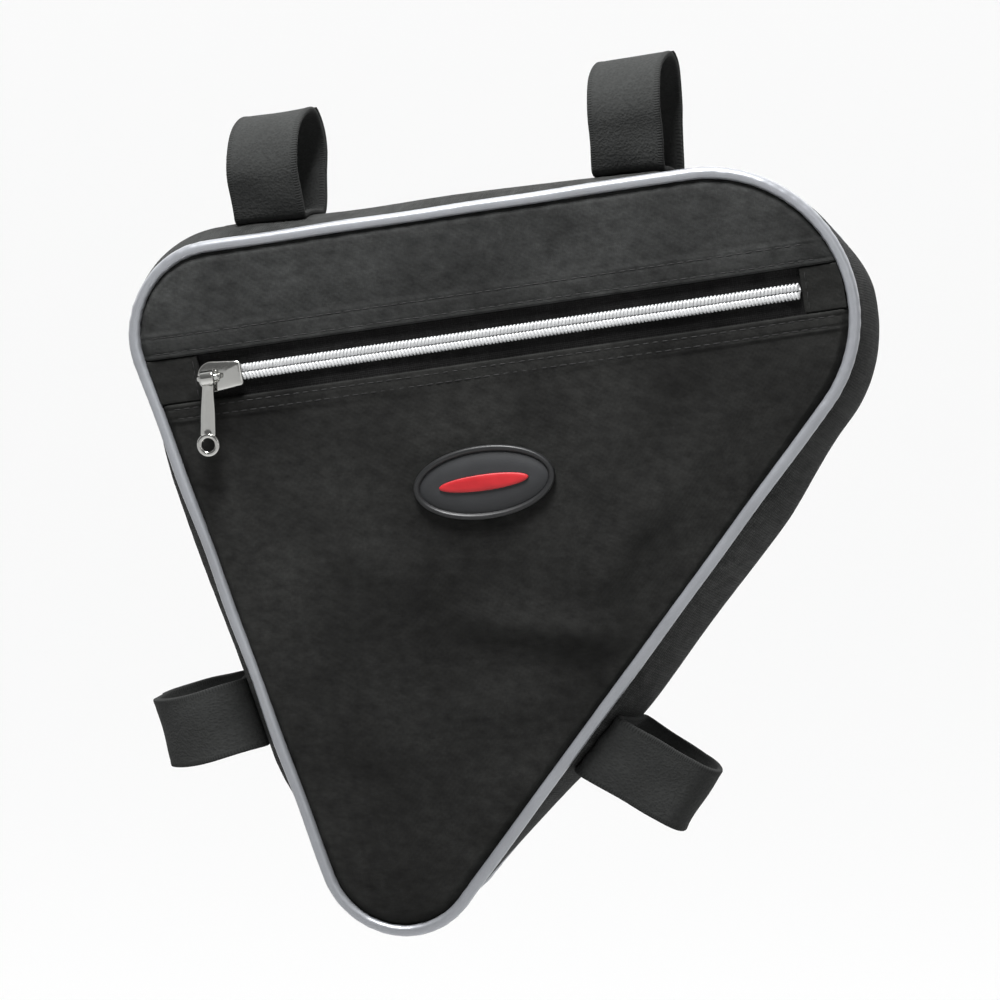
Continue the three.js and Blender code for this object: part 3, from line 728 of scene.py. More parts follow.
def woven_cloth(name, base, pitch, uneven=0.07, slub=0.14, depth=0.16 * MM, sheen=0.008, rough=0.8):
    """Woven polyester: thread by thread tone, slubs along both threads, a fine mottle, broad lighter and darker
    patches, painted shade in the hollows between the threads, and the weave's own relief."""
    finish = Finish(name)
    height, tone = plain_weave(finish, pitch)
    place = finish.cloth_place()
    slubs = finish.sums(
        "ADD",
        finish.noise(place, 1 / (3 * pitch), 1.0, (0.12, 1.0, 1.0)),
        finish.noise(place, 1 / (3 * pitch), 1.0, (1.0, 0.12, 1.0)),
    )
    # Broad patches of lighter and darker tone at random places, which also change the roughness.
    patches = finish.noise(finish.object_place(), 22.0, 3.0, roughness=0.6)
    mottle = finish.noise(finish.object_place(), 210.0, 3.0, (1.0, 1.0, 1.6), 0.65)
    thread_tone = finish.sums("MULTIPLY_ADD", tone, 2 * uneven, 1 - uneven)
    thread_tone = finish.sums("MULTIPLY", thread_tone, finish.sums("MULTIPLY_ADD", mottle, 1.5, 0.25))
    slub_tone = finish.sums("MULTIPLY_ADD", slubs, slub, 1 - slub)
    # The weave's height darkens its low places: painted shade in the hollows between the threads.
    weave_hollow_shade = finish.sums("MULTIPLY_ADD", height, 0.55, 0.68)
    patch_tone = finish.sums("MULTIPLY_ADD", patches, 1.8, 0.1)
    factor = finish.sums("MULTIPLY", thread_tone, slub_tone)
    factor = finish.sums("MULTIPLY", factor, finish.sums("MULTIPLY", weave_hollow_shade, patch_tone))
    finish.surface(
        Base_Color=finish.shade(base, factor),
        Roughness=finish.sums("MULTIPLY_ADD", patches, 0.12, rough - 0.06),
        Sheen_Weight=sheen,
        Sheen_Roughness=0.5,
        Specular_IOR_Level=0.05,
    )
    relief = finish.sums("MULTIPLY_ADD", slubs, 0.5, height)
    finish.bump(finish.sums("MULTIPLY_ADD", mottle, 1.6, relief), depth, 0.8)
    return finish.material


# Width of the webbing's ribbed selvedge, the pitch of its ribs, and the sizes of its loops and their fuzz
SELVEDGE_WIDTH = 1.7 * MM
RIB_PITCH = 0.8 * MM
LOOP_SIZE = 0.8 * MM
FUZZ_SIZE = 1.3 * MM


def hook_webbing(name, base, half_width):
    """Hook and loop webbing: a felt of small loops between two ribbed selvedges, with painted shade where its
    relief lies low.
    """
    finish = Finish(name)
    place = finish.cloth_place()
    split = finish.node("ShaderNodeSeparateXYZ", {0: place})
    from_middle = finish.sums("ABSOLUTE", split.outputs[1])
    selvedge = finish.sums("GREATER_THAN", from_middle, half_width - SELVEDGE_WIDTH)
    rib_phase = finish.sums("MULTIPLY", split.outputs[0], math.pi / RIB_PITCH)
    ribs = finish.sums("ABSOLUTE", finish.sums("SINE", rib_phase))
    loops = finish.node("ShaderNodeTexVoronoi", {"Vector": place, "Scale": 1 / LOOP_SIZE}).outputs["Distance"]
    fuzz = finish.noise(place, 1 / FUZZ_SIZE, 4.0, roughness=0.7)
    patches = finish.noise(finish.object_place(), 45.0, 2.0)
    height = finish.blend(selvedge, finish.sums("ADD", loops, fuzz), ribs)
    # The tone follows the height: painted shade in the hollows between the loops and in the ribs' grooves.
    factor = finish.sums("MULTIPLY_ADD", height, 0.35, 0.72)
    factor = finish.sums("MULTIPLY", factor, finish.sums("MULTIPLY_ADD", patches, 0.24, 0.88))
    finish.surface(
        Base_Color=finish.shade(base, factor),
        Roughness=0.95,
        Sheen_Weight=0.02,
        Sheen_Roughness=0.6,
        Specular_IOR_Level=0.05,
    )
    finish.bump(height, 0.25 * MM, 0.7)
    return finish.material


def coated_piping(name, base):
    """Silver coated piping: a fine cloth grain under a satin coat, a little dirtier in patches."""
    finish = Finish(name)
    place = finish.cloth_place()
    grain = finish.noise(place, 1 / (0.7 * MM), 3.0, (1.0, 2.0, 1.0))
    dirt = finish.noise(finish.object_place(), 60.0, 4.0, roughness=0.65)
    factor = finish.sums("MULTIPLY_ADD", grain, 0.16, 0.92)
    factor = finish.sums("MULTIPLY", factor, finish.sums("MULTIPLY_ADD", dirt, 0.3, 0.84))
    finish.surface(
        Base_Color=finish.shade(base, factor),
        Metallic=0.55,
        Roughness=finish.sums("MULTIPLY_ADD", dirt, 0.2, 0.28),
        Coat_Weight=0.15,
        Coat_Roughness=0.3,
    )
    finish.bump(grain, 0.05 * MM, 0.6)
    return finish.material


def coil_plastic(name, base):
    """Bright coil of the zip, with small differences from turn to turn."""
    finish = Finish(name)
    tone = finish.noise(finish.object_place(), 900.0, 2.0)
    finish.surface(
        Base_Color=finish.shade(base, finish.sums("MULTIPLY_ADD", tone, 0.3, 0.86)),
        Metallic=0.25,
        Roughness=finish.sums("MULTIPLY_ADD", tone, 0.2, 0.2),
        Coat_Weight=0.2,
        Coat_Roughness=0.2,
    )
    return finish.material


def plated_metal(name, base):
    """Bright plate over a die casting: faint waviness and small scuffs."""
    finish = Finish(name)
    place = finish.object_place()
    waves = finish.noise(place, 420.0, 1.0)
    scuffs = finish.noise(place, 2600.0, 3.0, (1.0, 1.0, 0.2))
    finish.surface(
        Base_Color=finish.shade(base, finish.sums("MULTIPLY_ADD", scuffs, 0.14, 0.93)),
        Metallic=1.0,
        Roughness=finish.sums("MULTIPLY_ADD", scuffs, 0.16, 0.07),
    )
    finish.bump(waves, 0.08 * MM, 0.5)
    return finish.material


def moulded_rubber(name, base, rough, grain_size, grain_depth):
    """Moulded rubber with a fine grain and a few dusty patches."""
    finish = Finish(name)
    place = finish.object_place()
    grain = finish.noise(place, 1 / grain_size, 3.0)
    dust = finish.noise(place, 160.0, 3.0)
    finish.surface(
        Base_Color=finish.shade(base, finish.sums("MULTIPLY_ADD", dust, 0.5, 0.78)),
        Roughness=finish.sums("MULTIPLY_ADD", dust, 0.25, rough - 0.12),
        Specular_IOR_Level=0.3,
    )
    finish.bump(grain, grain_depth, 0.6)
    return finish.material


def sewing_thread(name, base):
    """Twisted thread: fine slanted ridges, with painted shade in the grooves between them."""
    finish = Finish(name)
    twist = finish.noise(finish.object_place(), 2200.0, 1.0, (1.0, 0.4, 1.0))
    # The tone follows the ridges: painted shade in their grooves.
    finish.surface(
        Base_Color=finish.shade(base, finish.sums("MULTIPLY_ADD", twist, 0.8, 0.6)),
        Roughness=0.7,
        Specular_IOR_Level=0.2,
    )
    finish.bump(twist, 0.06 * MM, 0.6)
    return finish.material


# Parts


def zip_levels():
    """Level of the zip's middle, and the levels of the slot's lower and upper edges."""
    lower_chain, upper_chain = level_box("zip_chain_lower"), level_box("zip_chain_upper")
    middle = (lower_chain[0][2] + upper_chain[1][2]) / 2
    low = level_box("front_panel_lower")[1][2]
    high = level_box("front_panel_upper")[0][2]
    return middle, low, high


def puckers(run, inset, seed):
    """Small gathers along a seam: a sine of the distance along it, whose phase wanders by broad ripples and
    whose height falls off with the distance in from the seam."""
    phase = 2.2 * ripples(run, np.zeros_like(run), 60 * MM, seed)
    waves = np.sin(2 * math.pi * run / GATHER_LENGTH + phase)
    return settings().shape.pucker * waves * np.exp(-inset / GATHER_FADE)


def tucked(inset):
    """How far cloth turns in beside the piping, over the last few millimetres before the seam."""
    return TUCK_DEPTH * (1 - eased((inset - TUCK_START) / TUCK_REACH))


# Rows along the seam, and columns out over the face, of the cloth above and below the zip
UPPER_GRID = (380, 46)
LOWER_GRID = (420, 96)

# A folded hem: height of its step and the distance over which it falls, depths of the grooves that its
# two rows of stitches press in, their half width, and height and pitch of the small pulls at the stitches
HEM_STEP, HEM_STEP_REACH = 0.5 * MM, 1.1 * MM
FOLD_GROOVE, EDGE_GROOVE = 0.28 * MM, 0.2 * MM
GROOVE_REACH = 0.45 * MM
STITCH_PULL, STITCH_PULL_PITCH = 0.07 * MM, 3.3 * MM


def front_patch(face, level, upper):
    """One of the front panel's two parts, between the zip's hem and the seam, as a closed wall.

    Its rows run along the seam from one crossing of the hem to the other. Its columns run round the wall:
    round the folded hem, out over the face to the seam and back behind it. A point of the face lies
    between the hem's point and the seam's point with the same share of their lengths.
    """
    shape, trim = face.shape, settings().trim
    edge = face.seam.shrunk(CLOTH_INSET)
    down, up = edge.crossings(level)
    rows, columns = UPPER_GRID if upper else LOWER_GRID
    run = np.linspace(up, down + edge.total, rows) if upper else np.linspace(down, up, rows)
    seam, _ = edge.at(run)
    share_run = np.linspace(0, 1, rows)
    hem = seam[0] + share_run[:, None] * (seam[-1] - seam[0])
    hem[:, 1] = level
    sign = 1 if upper else -1
    fold = trim.hem_upper if upper else trim.hem_lower
    # The columns lie closer at the hem and at the seam
    outer = np.linspace(0, 1, columns)
    outer = 0.7 * outer + 0.3 * eased(outer)
    half = shape.wall / 2

    def between(shares, start):
        """Places at shares of the way from a distance off the hem to the seam."""
        begin = hem + np.array([0, sign * start])
        return begin[:, None] + np.asarray(shares)[:, None] * (seam - begin)[:, None]

    def outer_depth(flat):
        """Depth of the outer face: the panel's, with the hem's step, grooves and pulls, gathers and tuck."""
        along, height = flat[..., 0], flat[..., 1]
        inset = inset_in(face.circles, along, height)
        from_hem = sign * (height - level)
        ridge = HEM_STEP * (1 - eased((from_hem - fold) / HEM_STEP_REACH))
        groove = FOLD_GROOVE * np.exp(-np.square((from_hem - fold + FOLD_ROW) / GROOVE_REACH))
        groove += EDGE_GROOVE * np.exp(-np.square((from_hem - EDGE_ROW) / GROOVE_REACH))
        pull = STITCH_PULL * np.sin(2 * math.pi * along / STITCH_PULL_PITCH)
        pull = pull * np.exp(-from_hem / (fold * 0.8))
        gathers = puckers(np.broadcast_to(run[:, None], along.shape), inset, 31)
        out = face.out(along, height) + ridge - groove + pull + gathers - tucked(inset)
        return face.seam_depth - out

    arc = np.linspace(math.pi / 2, -math.pi / 2, 7)[1:-1]
    flat_outer = between(outer, half)
    flat_inner = between(outer[::-6], half)
    depth_outer = outer_depth(flat_outer)
    depth_inner = outer_depth(flat_inner) + shape.wall
    hem_flat = np.stack([hem + np.array([0, sign * half * (1 - math.cos(t))]) for t in arc[::-1]], axis=1)
    hem_depth = depth_outer[:, :1] + half - half * np.sin(arc[::-1])
    # At the two ends the fold closes on the seam's point
    pinch = np.minimum(1, np.minimum(run - run[0], run[-1] - run) / (4 * MM))[:, None]
    hem_flat[..., 1] = level + (hem_flat[..., 1] - level) * pinch
    flat = np.concatenate([hem_flat, flat_outer, flat_inner], axis=1)
    depth = np.concatenate([hem_depth, depth_outer, depth_inner], axis=1)
    points = np.stack([flat[..., 0], depth, flat[..., 1]], axis=-1)
    return part(points, uv=np.concatenate([flat, flat[:, :1]], axis=1))


def back_disc(face):
    """The back panel as a closed wall: rings from its middle out to the seam and back behind it."""
    shape = face.shape
    edge = face.seam.shrunk(CLOTH_INSET)
    run = np.linspace(0, edge.total, 520, endpoint=False)
    seam, _ = edge.at(run)
    middle = np.array(face.circles)[:, :2].mean(0)
    outer = 1 - np.square(np.linspace(1, 0, 64))
    flat_outer = middle + outer[None, :, None] * (seam - middle)[:, None]
    flat_inner = flat_outer[:, ::-5]

    def depth_of(flat):
        """Depth of the outer face: the panel's, with the seam's gathers and tuck."""
        inset = inset_in(face.circles, flat[..., 0], flat[..., 1])
        gathers = puckers(np.broadcast_to(run[:, None], inset.shape), inset, 57)
        return face.seam_depth + face.out(flat[..., 0], flat[..., 1]) + gathers - tucked(inset)

    # The middle point ends both faces, so that the wall closes there
    middle_column = np.broadcast_to(middle, flat_inner[:, :1].shape)
    flat_inner = np.concatenate([flat_inner[:, :-1], middle_column], axis=1)
    depth = np.concatenate([depth_of(flat_outer), depth_of(flat_inner) - shape.wall], axis=1)
    flat = np.concatenate([flat_outer, flat_inner], axis=1)
    points = np.stack([flat[..., 0], depth, flat[..., 1]], axis=-1)
    uv = np.concatenate([flat, flat[:1]], axis=0)
    return part(points, (True, False), uv)


class Gusset:
    """The band between the two seams.

    A point at a share of the band's depth lies between the seams by that share, and stands out by the
    bulge times 4 s (1 - s). The bulge is the corners' and the sides' own, joined by eased steps.
    """

    # Directions between which the front corner's bulge fades towards the top
    FRONT_CORNER_TURN = (math.radians(5), math.radians(35))
    # How far the band's edges lie short of the panels' seams
    EDGE_INSET = 1.0 * MM
    # Height and length of its ripples, and how far from a seam they are full
    RIPPLE = 0.4 * MM
    RIPPLE_LENGTH = 70 * MM
    RIPPLE_REACH = 10 * MM
    # Its gathers beside those of the panels
    GATHER_SHARE = 1.3
    # How far its edges turn in beside the piping, and over what distance
    EDGE_SINK = 1.1 * MM
    EDGE_REACH = 3 * MM

    def __init__(self):
        self.front = PanelFace("front_piping", -1)
        self.back = PanelFace("back_piping", 1)
        self.seam = self.front.seam
        self.half_depth = self.back.seam_depth - self.EDGE_INSET

    def bulge(self, run, normal):
        """How far the band's middle stands out at distances along the seam."""
        shape = self.front.shape
        turn = np.arctan2(normal[..., 1], normal[..., 0])
        start, end = self.FRONT_CORNER_TURN
        to_top = eased((turn - start) / (end - start))
        front_corner = shape.front_corner_bulge
        front_corner = front_corner + (shape.front_top_bulge - front_corner) * to_top
        corners = self.seam.corners
        total = np.where(run <= corners[0, 1], shape.rear_corner_bulge, shape.tip_bulge)
        total = np.where(run >= corners[2, 0], front_corner, total)
        sides = (
            (shape.rear_corner_bulge, shape.rear_bulge, shape.tip_bulge, shape.side_ease, shape.side_ease),
            (shape.tip_bulge, shape.front_bulge, shape.front_corner_bulge, shape.tip_ease, shape.side_ease),
            (shape.front_top_bulge, shape.top_bulge, shape.rear_corner_bulge, shape.top_ease, shape.top_ease),
        )
        for k, (first, middle, last, first_ease, last_ease) in enumerate(sides):
            begin = corners[k, 1]
            finish = corners[k + 1, 0] if k < 2 else self.seam.total
            near_start = 1 - eased((run - begin) / first_ease)
            near_end = 1 - eased((finish - run) / last_ease)
            here = middle + (first - middle) * near_start + (last - middle) * near_end
            total = np.where((run > begin) & (run < finish), here, total)
        return total

    def points(self, run, shares, extra):
        """Level points at distances along the seam and shares of the depth, moved out by an extra."""
        run = np.asarray(run) % self.seam.total
        front_place, normal = self.seam.at(run)
        # The back seam is read at the same corners and the same shares of its sides
        front_marks = np.append(self.seam.corners.ravel(), self.seam.total)
        back_marks = np.append(self.back.seam.corners.ravel(), self.back.seam.total)
        back_place, _ = self.back.seam.at(np.interp(run, front_marks, back_marks))
        depth = 2 * self.half_depth
        across = shares * depth
        from_seam = np.minimum(across, depth - across)
        broad = ripples(run, across, self.RIPPLE_LENGTH, settings().seed + 3)
        gathers = puckers(run, across, 83) + puckers(run, depth - across, 91)
        out = 4 * self.bulge(run, normal) * shares * (1 - shares) + extra
        out = out + self.RIPPLE * broad * eased(from_seam / self.RIPPLE_REACH) + self.GATHER_SHARE * gathers
        out = out - self.EDGE_SINK * (1 - eased(from_seam / self.EDGE_REACH))
        place = front_place + shares[..., None] * (back_place - front_place) + out[..., None] * normal
        return np.stack([place[..., 0], across - self.half_depth, place[..., 1]], axis=-1)

    def part(self):
        """The closed wall: rows along the seam, columns out over the band and back behind it."""
        wall = self.front.shape.wall
        rows = 760
        run = np.linspace(0, self.seam.total, rows, endpoint=False)
        outer, inner = np.linspace(0, 1, 44), np.linspace(1, 0, 9)

        def face(shares, extra):
            return self.points(*np.broadcast_arrays(run[:, None], shares[None, :]), extra)

        points = np.concatenate([face(outer, wall / 2), face(inner, -wall / 2)], axis=1)
        columns = np.concatenate([outer, inner, outer[:1]]) * 2 * self.half_depth
        return part(points, (True, True), uv_grid(np.append(run, self.seam.total), columns))


# How far beyond the ends of a corner the piping's creases fade
PIPING_CREASE_FADE = 12 * MM


def piping_part(face, seed):
    """Piping along a seam: a circle carried round it, whose radius wavers a little, and more at corners."""
    shape = face.shape
    rows, sides = 1100, 16
    run = np.linspace(0, face.seam.total, rows, endpoint=False)
    place, normal = face.seam.at(run)
    turn = whole_turn(sides)
    wobble = ripples(run, np.zeros_like(run), 30 * MM, seed)[:, None]
    fine = ripples(run[:, None], turn[None, :] * shape.piping_radius, 3.2 * MM, seed + 1)
    bend = np.zeros(rows)
    for start, end in face.seam.corners:
        begun = eased((run - start) / PIPING_CREASE_FADE + 1)
        ended = eased((end - run) / PIPING_CREASE_FADE + 1)
        bend = np.maximum(bend, begun * ended)
    radius = shape.piping_radius * (1 + 0.02 * wobble + 0.022 * fine * (0.35 + bend[:, None]))
    out = radius * np.cos(turn)
    depth = face.seam_depth - face.side * radius * np.sin(turn)
    flat = place[:, None] + out[..., None] * normal[:, None]
    flat = flat + (0.12 * MM * wobble)[..., None] * normal[:, None]
    points = np.stack([flat[..., 0], depth, flat[..., 1]], axis=-1)
    around = np.linspace(0, 2 * math.pi * shape.piping_radius, sides + 1)
    return part(points, (True, True), uv_grid(np.append(run, face.seam.total), around))


# How far inside the seam a strip ends, so that it stays clear of the piping
STRIP_INSET = 2.2 * MM


def strip_part(face, start, end, low, high, near, far, rows=120, columns=9, edge=0.3 * MM):
    """A strip along the zip that follows the panel's face: near and far are depths behind the face. At each
    level it stops short of the piping."""
    section = rounded_section((high - low) / 2, (far - near) / 2, edge, 4, columns)
    height = (low + high) / 2 + section[:, 0]
    inner = face.seam.shrunk(STRIP_INSET)
    stops = np.array([inner.at(np.array(inner.crossings(level)))[0][:, 0] for level in height])
    begin = np.maximum(start, stops.min(1))
    finish = np.minimum(end, stops.max(1))
    grid_along = begin + np.linspace(0, 1, rows)[:, None] * (finish - begin)
    grid_up = np.broadcast_to(height, grid_along.shape)
    depth = face.depth(grid_along, grid_up) + (near + far) / 2 - section[None, :, 1]
    points = np.stack([grid_along, depth, grid_up], axis=-1)
    uv = np.stack([grid_along, grid_up], axis=-1)
    return part(points, uv=np.concatenate([uv, uv[:, :1]], axis=1), caps=True)


# Points of one turn of the coil's wire, and sides of the wire
COIL_STEPS = 14
COIL_SIDES = 7

# How far a coil's loops reach past their half, the depth of its axis behind the face, and half its height
COIL_OVERLAP = 0.12 * MM
COIL_SINK = 0.4 * MM
COIL_RISE = 1.1 * MM


def coil_part(face, start, end, middle, side):
    """One row of the zip's coil: a circle carried along a flattened helix, whose loops reach a little over
    the zip's middle. side is 1 above it and -1 below it."""
    trim = settings().trim
    lo, hi = level_box("zip_chain_upper" if side > 0 else "zip_chain_lower")
    half_width = (hi[2] - lo[2]) / 2
    turns = int((end - start) / trim.coil_pitch)
    angle = np.linspace(0, 2 * math.pi * turns, turns * COIL_STEPS + 1)
    # The upper row's loops lie between the lower row's
    shift = 0.25 * trim.coil_pitch if side > 0 else 0
    along = start + (end - start) * angle / angle[-1] + shift
    across = half_width + COIL_OVERLAP - trim.wire_radius
    up = middle + side * (half_width - across * np.cos(angle))
    level = face.depth(along, np.full_like(along, middle)) + COIL_SINK
    depth = level - (COIL_RISE - trim.wire_radius) * np.sin(angle)
    path = np.stack([along, depth, up], axis=-1)
    heading = unit(np.gradient(path, axis=0))
    out = np.stack([np.zeros_like(along), -np.sin(angle), -side * np.cos(angle)], axis=-1)
    out = square_to(out, heading)
    points = swept(path, out, np.cross(heading, out), ring_section(trim.wire_radius, COIL_SIDES))
    return part(points, caps=True)


# Edges of the slider's plates as rows of (share of the outline, depth in millimetres): the domed face and
# the back of the front plate, and the whole of the rear plate
SLIDER_DOME = (
    (0.0, -0.35), (0.35, -0.32), (0.62, -0.22), (0.82, -0.06), (0.92, 0.08), (0.98, 0.3), (1.0, 0.6),
)
SLIDER_BACK = ((1.0, 0.95), (0.98, 1.2), (0.92, 1.38), (0.8, 1.4), (0.0, 1.4))
SLIDER_REAR = (
    (0.0, 0.0), (0.9, 0.0), (0.97, 0.12), (1.0, 0.4), (1.0, 1.0), (0.97, 1.28), (0.9, 1.4), (0.0, 1.4),
)

# Radius of the slider's nose, half its width at the tail, the tail's corners, and its plates' wall
SLIDER_NOSE = 5.3 * MM
SLIDER_TAIL = 4.3 * MM
SLIDER_CORNER = 1.2 * MM
SLIDER_PLATE = 1.4 * MM

# How far the slider's front plate lies behind the pull's pivot
SLIDER_STANDOFF = 2.9 * MM

# Half the span of the bail and the radius of its bends
BAIL_HALF = 3.7 * MM
BAIL_BEND = 1.7 * MM

# The slider's flanges: distance from the middle, and how far they stop short of the nose and of the tail
FLANGE_OUT = 3.55 * MM
FLANGE_FROM_NOSE = 4.7 * MM
FLANGE_FROM_TAIL = 0.8 * MM


def slider_outline(lo, hi, middle):
    """The outline of the slider's plates, as rows of (along, up): a half circle, two straight sides that
    narrow to the tail, and a quarter circle at each of its corners."""
    turn = np.linspace(math.pi / 2, 3 * math.pi / 2, 19)
    nose_up = middle + SLIDER_NOSE * np.sin(turn)
    nose = np.stack([lo[0] + SLIDER_NOSE + SLIDER_NOSE * np.cos(turn), nose_up], axis=-1)
    shares = np.linspace(0, 1, 11)[1:, None]
    tail_end = hi[0] - SLIDER_CORNER
    tail_up = np.array([tail_end, middle + SLIDER_TAIL])
    tail_down = np.array([tail_end, middle - SLIDER_TAIL])
    lower = nose[-1] + shares * (tail_down - nose[-1])
    quarter = np.linspace(-math.pi / 2, 0, 5)[1:, None]
    corner_up = middle - SLIDER_TAIL + SLIDER_CORNER + SLIDER_CORNER * np.sin(quarter)
    round_down = np.hstack([tail_end + SLIDER_CORNER * np.cos(quarter), corner_up])
    round_up = np.hstack([round_down[::-1, :1], 2 * middle - round_down[::-1, 1:]])
    upper = tail_up + shares * (nose[0] - tail_up)
    return np.vstack([nose, lower, round_down, round_up, upper[:-1]])


def bail_path(pivot, front, middle):
    """The middle line of the bail: a leg out of the plate, a quarter circle over to the far leg, and back."""
    turn = np.linspace(0, math.pi / 2, 8)
    bend_along = -BAIL_HALF + BAIL_BEND - BAIL_BEND * np.cos(turn)
    bend = np.stack([bend_along, BAIL_BEND - BAIL_BEND * np.sin(turn)], axis=-1)
    leg = np.linspace(front + 0.4 * MM - pivot[1], BAIL_BEND, 5)[:-1]
    first = np.vstack([np.stack([np.full(len(leg), -BAIL_HALF), leg], axis=-1), bend])
    whole = np.vstack([first, first[::-1] * np.array([-1, 1])])
    return np.stack([pivot[0] + whole[:, 0], pivot[1] + whole[:, 1], np.full(len(whole), middle)], axis=-1)


def slider_parts():
    """The slider: two plates with a round nose, a neck between them, two flanges and the bail over them."""
    lo, hi = level_box("zip_slider")
    pivot = to_level(np.array(pull_joint["pos_m"]))
    middle = pivot[2]
    front = pivot[1] + SLIDER_STANDOFF
    outline = slider_outline(lo, hi, middle)
    top = slab(outline, [(size, front + depth * MM) for size, depth in SLIDER_DOME + SLIDER_BACK])
    bottom = slab(outline, [(size, hi[1] - SLIDER_PLATE + depth * MM) for size, depth in SLIDER_REAR])

    path = bail_path(pivot, front, middle)
    bail_across = np.broadcast_to(UP_AXIS, path.shape)
    bail_out = np.cross(unit(np.gradient(path, axis=0)), bail_across)
    bail = swept(path, bail_out, bail_across, rounded_section(1.0 * MM, 0.85 * MM, 0.6 * MM, 4, 3))

    neck_at = lo[0] + 0.6 * MM + 1.2 * MM
    neck_depth = np.linspace(front + SLIDER_PLATE / 2, hi[1] - SLIDER_PLATE / 2, 6)
    neck_path = np.stack([np.full(6, neck_at), neck_depth, np.full(6, middle)], axis=-1)
    neck_along = np.broadcast_to(ALONG_AXIS, neck_path.shape)
    neck_up = np.broadcast_to(UP_AXIS, neck_path.shape)
    neck = swept(neck_path, neck_along, neck_up, rounded_section(1.0 * MM, 1.2 * MM, 0.4 * MM, 4, 3))

    parts = [part(top), part(bottom), part(bail, caps=True), part(neck, caps=True)]
    start, end = lo[0] + FLANGE_FROM_NOSE, hi[0] - FLANGE_FROM_TAIL
    run = np.linspace(start, end, 10)
    shrink = np.clip(np.minimum(run - start, end - run) / (1.2 * MM), 0.55, 1) ** 0.5
    flange_section = rounded_section(0.5 * MM, 1.5 * MM, 0.4 * MM, 4, 2)
    for side in (-1, 1):
        spread = np.full(len(run), middle + side * FLANGE_OUT)
        line = np.stack([run, np.full(len(run), front + 1.9 * MM), spread], axis=-1)
        flange_depth = np.broadcast_to(DEPTH_AXIS, line.shape)
        flange_up = np.broadcast_to(UP_AXIS, line.shape)
        parts.append(part(swept(line, flange_depth, flange_up, flange_section, shrink), caps=True))
    return parts


# The pull's stem in section, as rows of (share of its half width, share of its half wall): a groove runs
# down its face between two round ridges, and its back is flat
PULL_SECTION = np.array([
    (1.0, 0.0), (0.985, 0.5), (0.9, 0.82), (0.74, 0.95), (0.58, 0.9), (0.42, 0.66), (0.25, 0.5), (0.0, 0.47),
    (-0.25, 0.5), (-0.42, 0.66), (-0.58, 0.9), (-0.74, 0.95), (-0.9, 0.82), (-0.985, 0.5), (-1.0, 0.0),
    (-0.985, -0.5), (-0.9, -0.85), (-0.7, -0.97), (0.0, -1.0), (0.7, -0.97), (0.9, -0.85), (0.985, -0.5),
])

# The pull's eye and ring, half the eye's length, half the stem's wall, and the stem's rows
EYE_OUTER, EYE_INNER, EYE_HALF = 2.6 * MM, 1.7 * MM, 2.3 * MM
RING_OUTER, RING_INNER = 4.1 * MM, 2.2 * MM
PULL_HALF_WALL = 0.9 * MM
STEM_ROWS = 30


def pull_eye(pivot):
    """The eye: a rounded rectangle carried round the pivot."""
    front_way, down_way, tube_way = -LEVEL[1], -LEVEL[2], LEVEL[0]
    turn = whole_turn(40)
    wall = rounded_section(EYE_HALF, (EYE_OUTER - EYE_INNER) / 2, 0.35 * MM, 4, 6)
    radial = np.cos(turn)[:, None] * front_way + np.sin(turn)[:, None] * down_way
    centre = pivot + (EYE_OUTER + EYE_INNER) / 2 * radial
    return swept(centre, radial, np.broadcast_to(tube_way, radial.shape), wall)


def pull_stem(pivot, ring_middle):
    """The stem: its section at each row, as wide as the row's half width. The groove fades out at both ends
    into a rounder section, whose height is 0.9 times that of a circle."""
    bottom = ring_middle - pivot[2] + RING_OUTER - 0.9 * MM
    stem = np.linspace(-EYE_OUTER + 0.5 * MM, bottom, STEM_ROWS)
    down = np.linspace(0, 1, STEM_ROWS)
    half = (2.0 + 0.5 * eased(down * 1.6) + 0.2 * np.square(down)) * MM
    width, height = PULL_SECTION.T
    groove = (eased(down / 0.12) * eased((1 - down) / 0.12))[:, None]
    round_height = 0.9 * np.sqrt(np.clip(1 - width ** 2, 0, 1)) * (height > 0)
    filled = np.maximum(height, round_height)
    rise = height[None] * groove + filled[None] * (1 - groove)
    line = np.stack([np.zeros(STEM_ROWS), np.zeros(STEM_ROWS), stem], axis=-1)
    across = (width[None] * half[:, None])[..., None] * ALONG_AXIS
    return pivot + line[:, None] + across + (PULL_HALF_WALL * rise)[..., None] * FRONT_AXIS


def pull_ring(pivot, ring_middle):
    """The ring: a rounded rectangle carried round its middle."""
    turn = whole_turn(44)
    radial = np.stack([np.cos(turn), np.zeros(len(turn)), np.sin(turn)], axis=-1)
    centre = np.array([pivot[0], pivot[1], ring_middle]) + (RING_OUTER + RING_INNER) / 2 * radial
    section = rounded_section(PULL_HALF_WALL, (RING_OUTER - RING_INNER) / 2, 0.8 * MM, 5, 2)
    return swept(centre, radial, np.broadcast_to(FRONT_AXIS, radial.shape), section)


def pull_parts():
    """The pull in row directions about its pivot: an eye rolled round the bail, a grooved stem that widens
    a little downwards, and a ring."""
    pivot = np.array(pull_joint["pos_m"])
    ring_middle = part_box("zip_pull")[0][2] + RING_OUTER
    return [
        part(to_level(pull_eye(pivot)), (True, True)),
        part(to_level(pull_stem(pivot, ring_middle)), caps=True),
        part(to_level(pull_ring(pivot, ring_middle)), (True, True)),
    ]


def oval_part(face, half_length, half_width, profile, base, steps=112):
    """An oval body on the panel: rings of its outline, each moved in and raised by the profile's rows of
    (inset, height), where a height is measured out from a base behind the face."""
    turn = whole_turn(steps)
    rows = []
    for inset, height in profile:
        # The last ring closes on the middle in both directions
        stretch = half_length / half_width if inset >= half_width else 1
        long_half = max(0.0, half_length - inset * stretch)
        along = face.badge[0] + long_half * np.cos(turn)
        up = face.badge[2] + max(0.0, half_width - inset) * np.sin(turn)
        depth = face.depth(along, up) - base - height
        rows.append(np.stack([along, depth, up], axis=-1))
    return part(np.stack(rows))


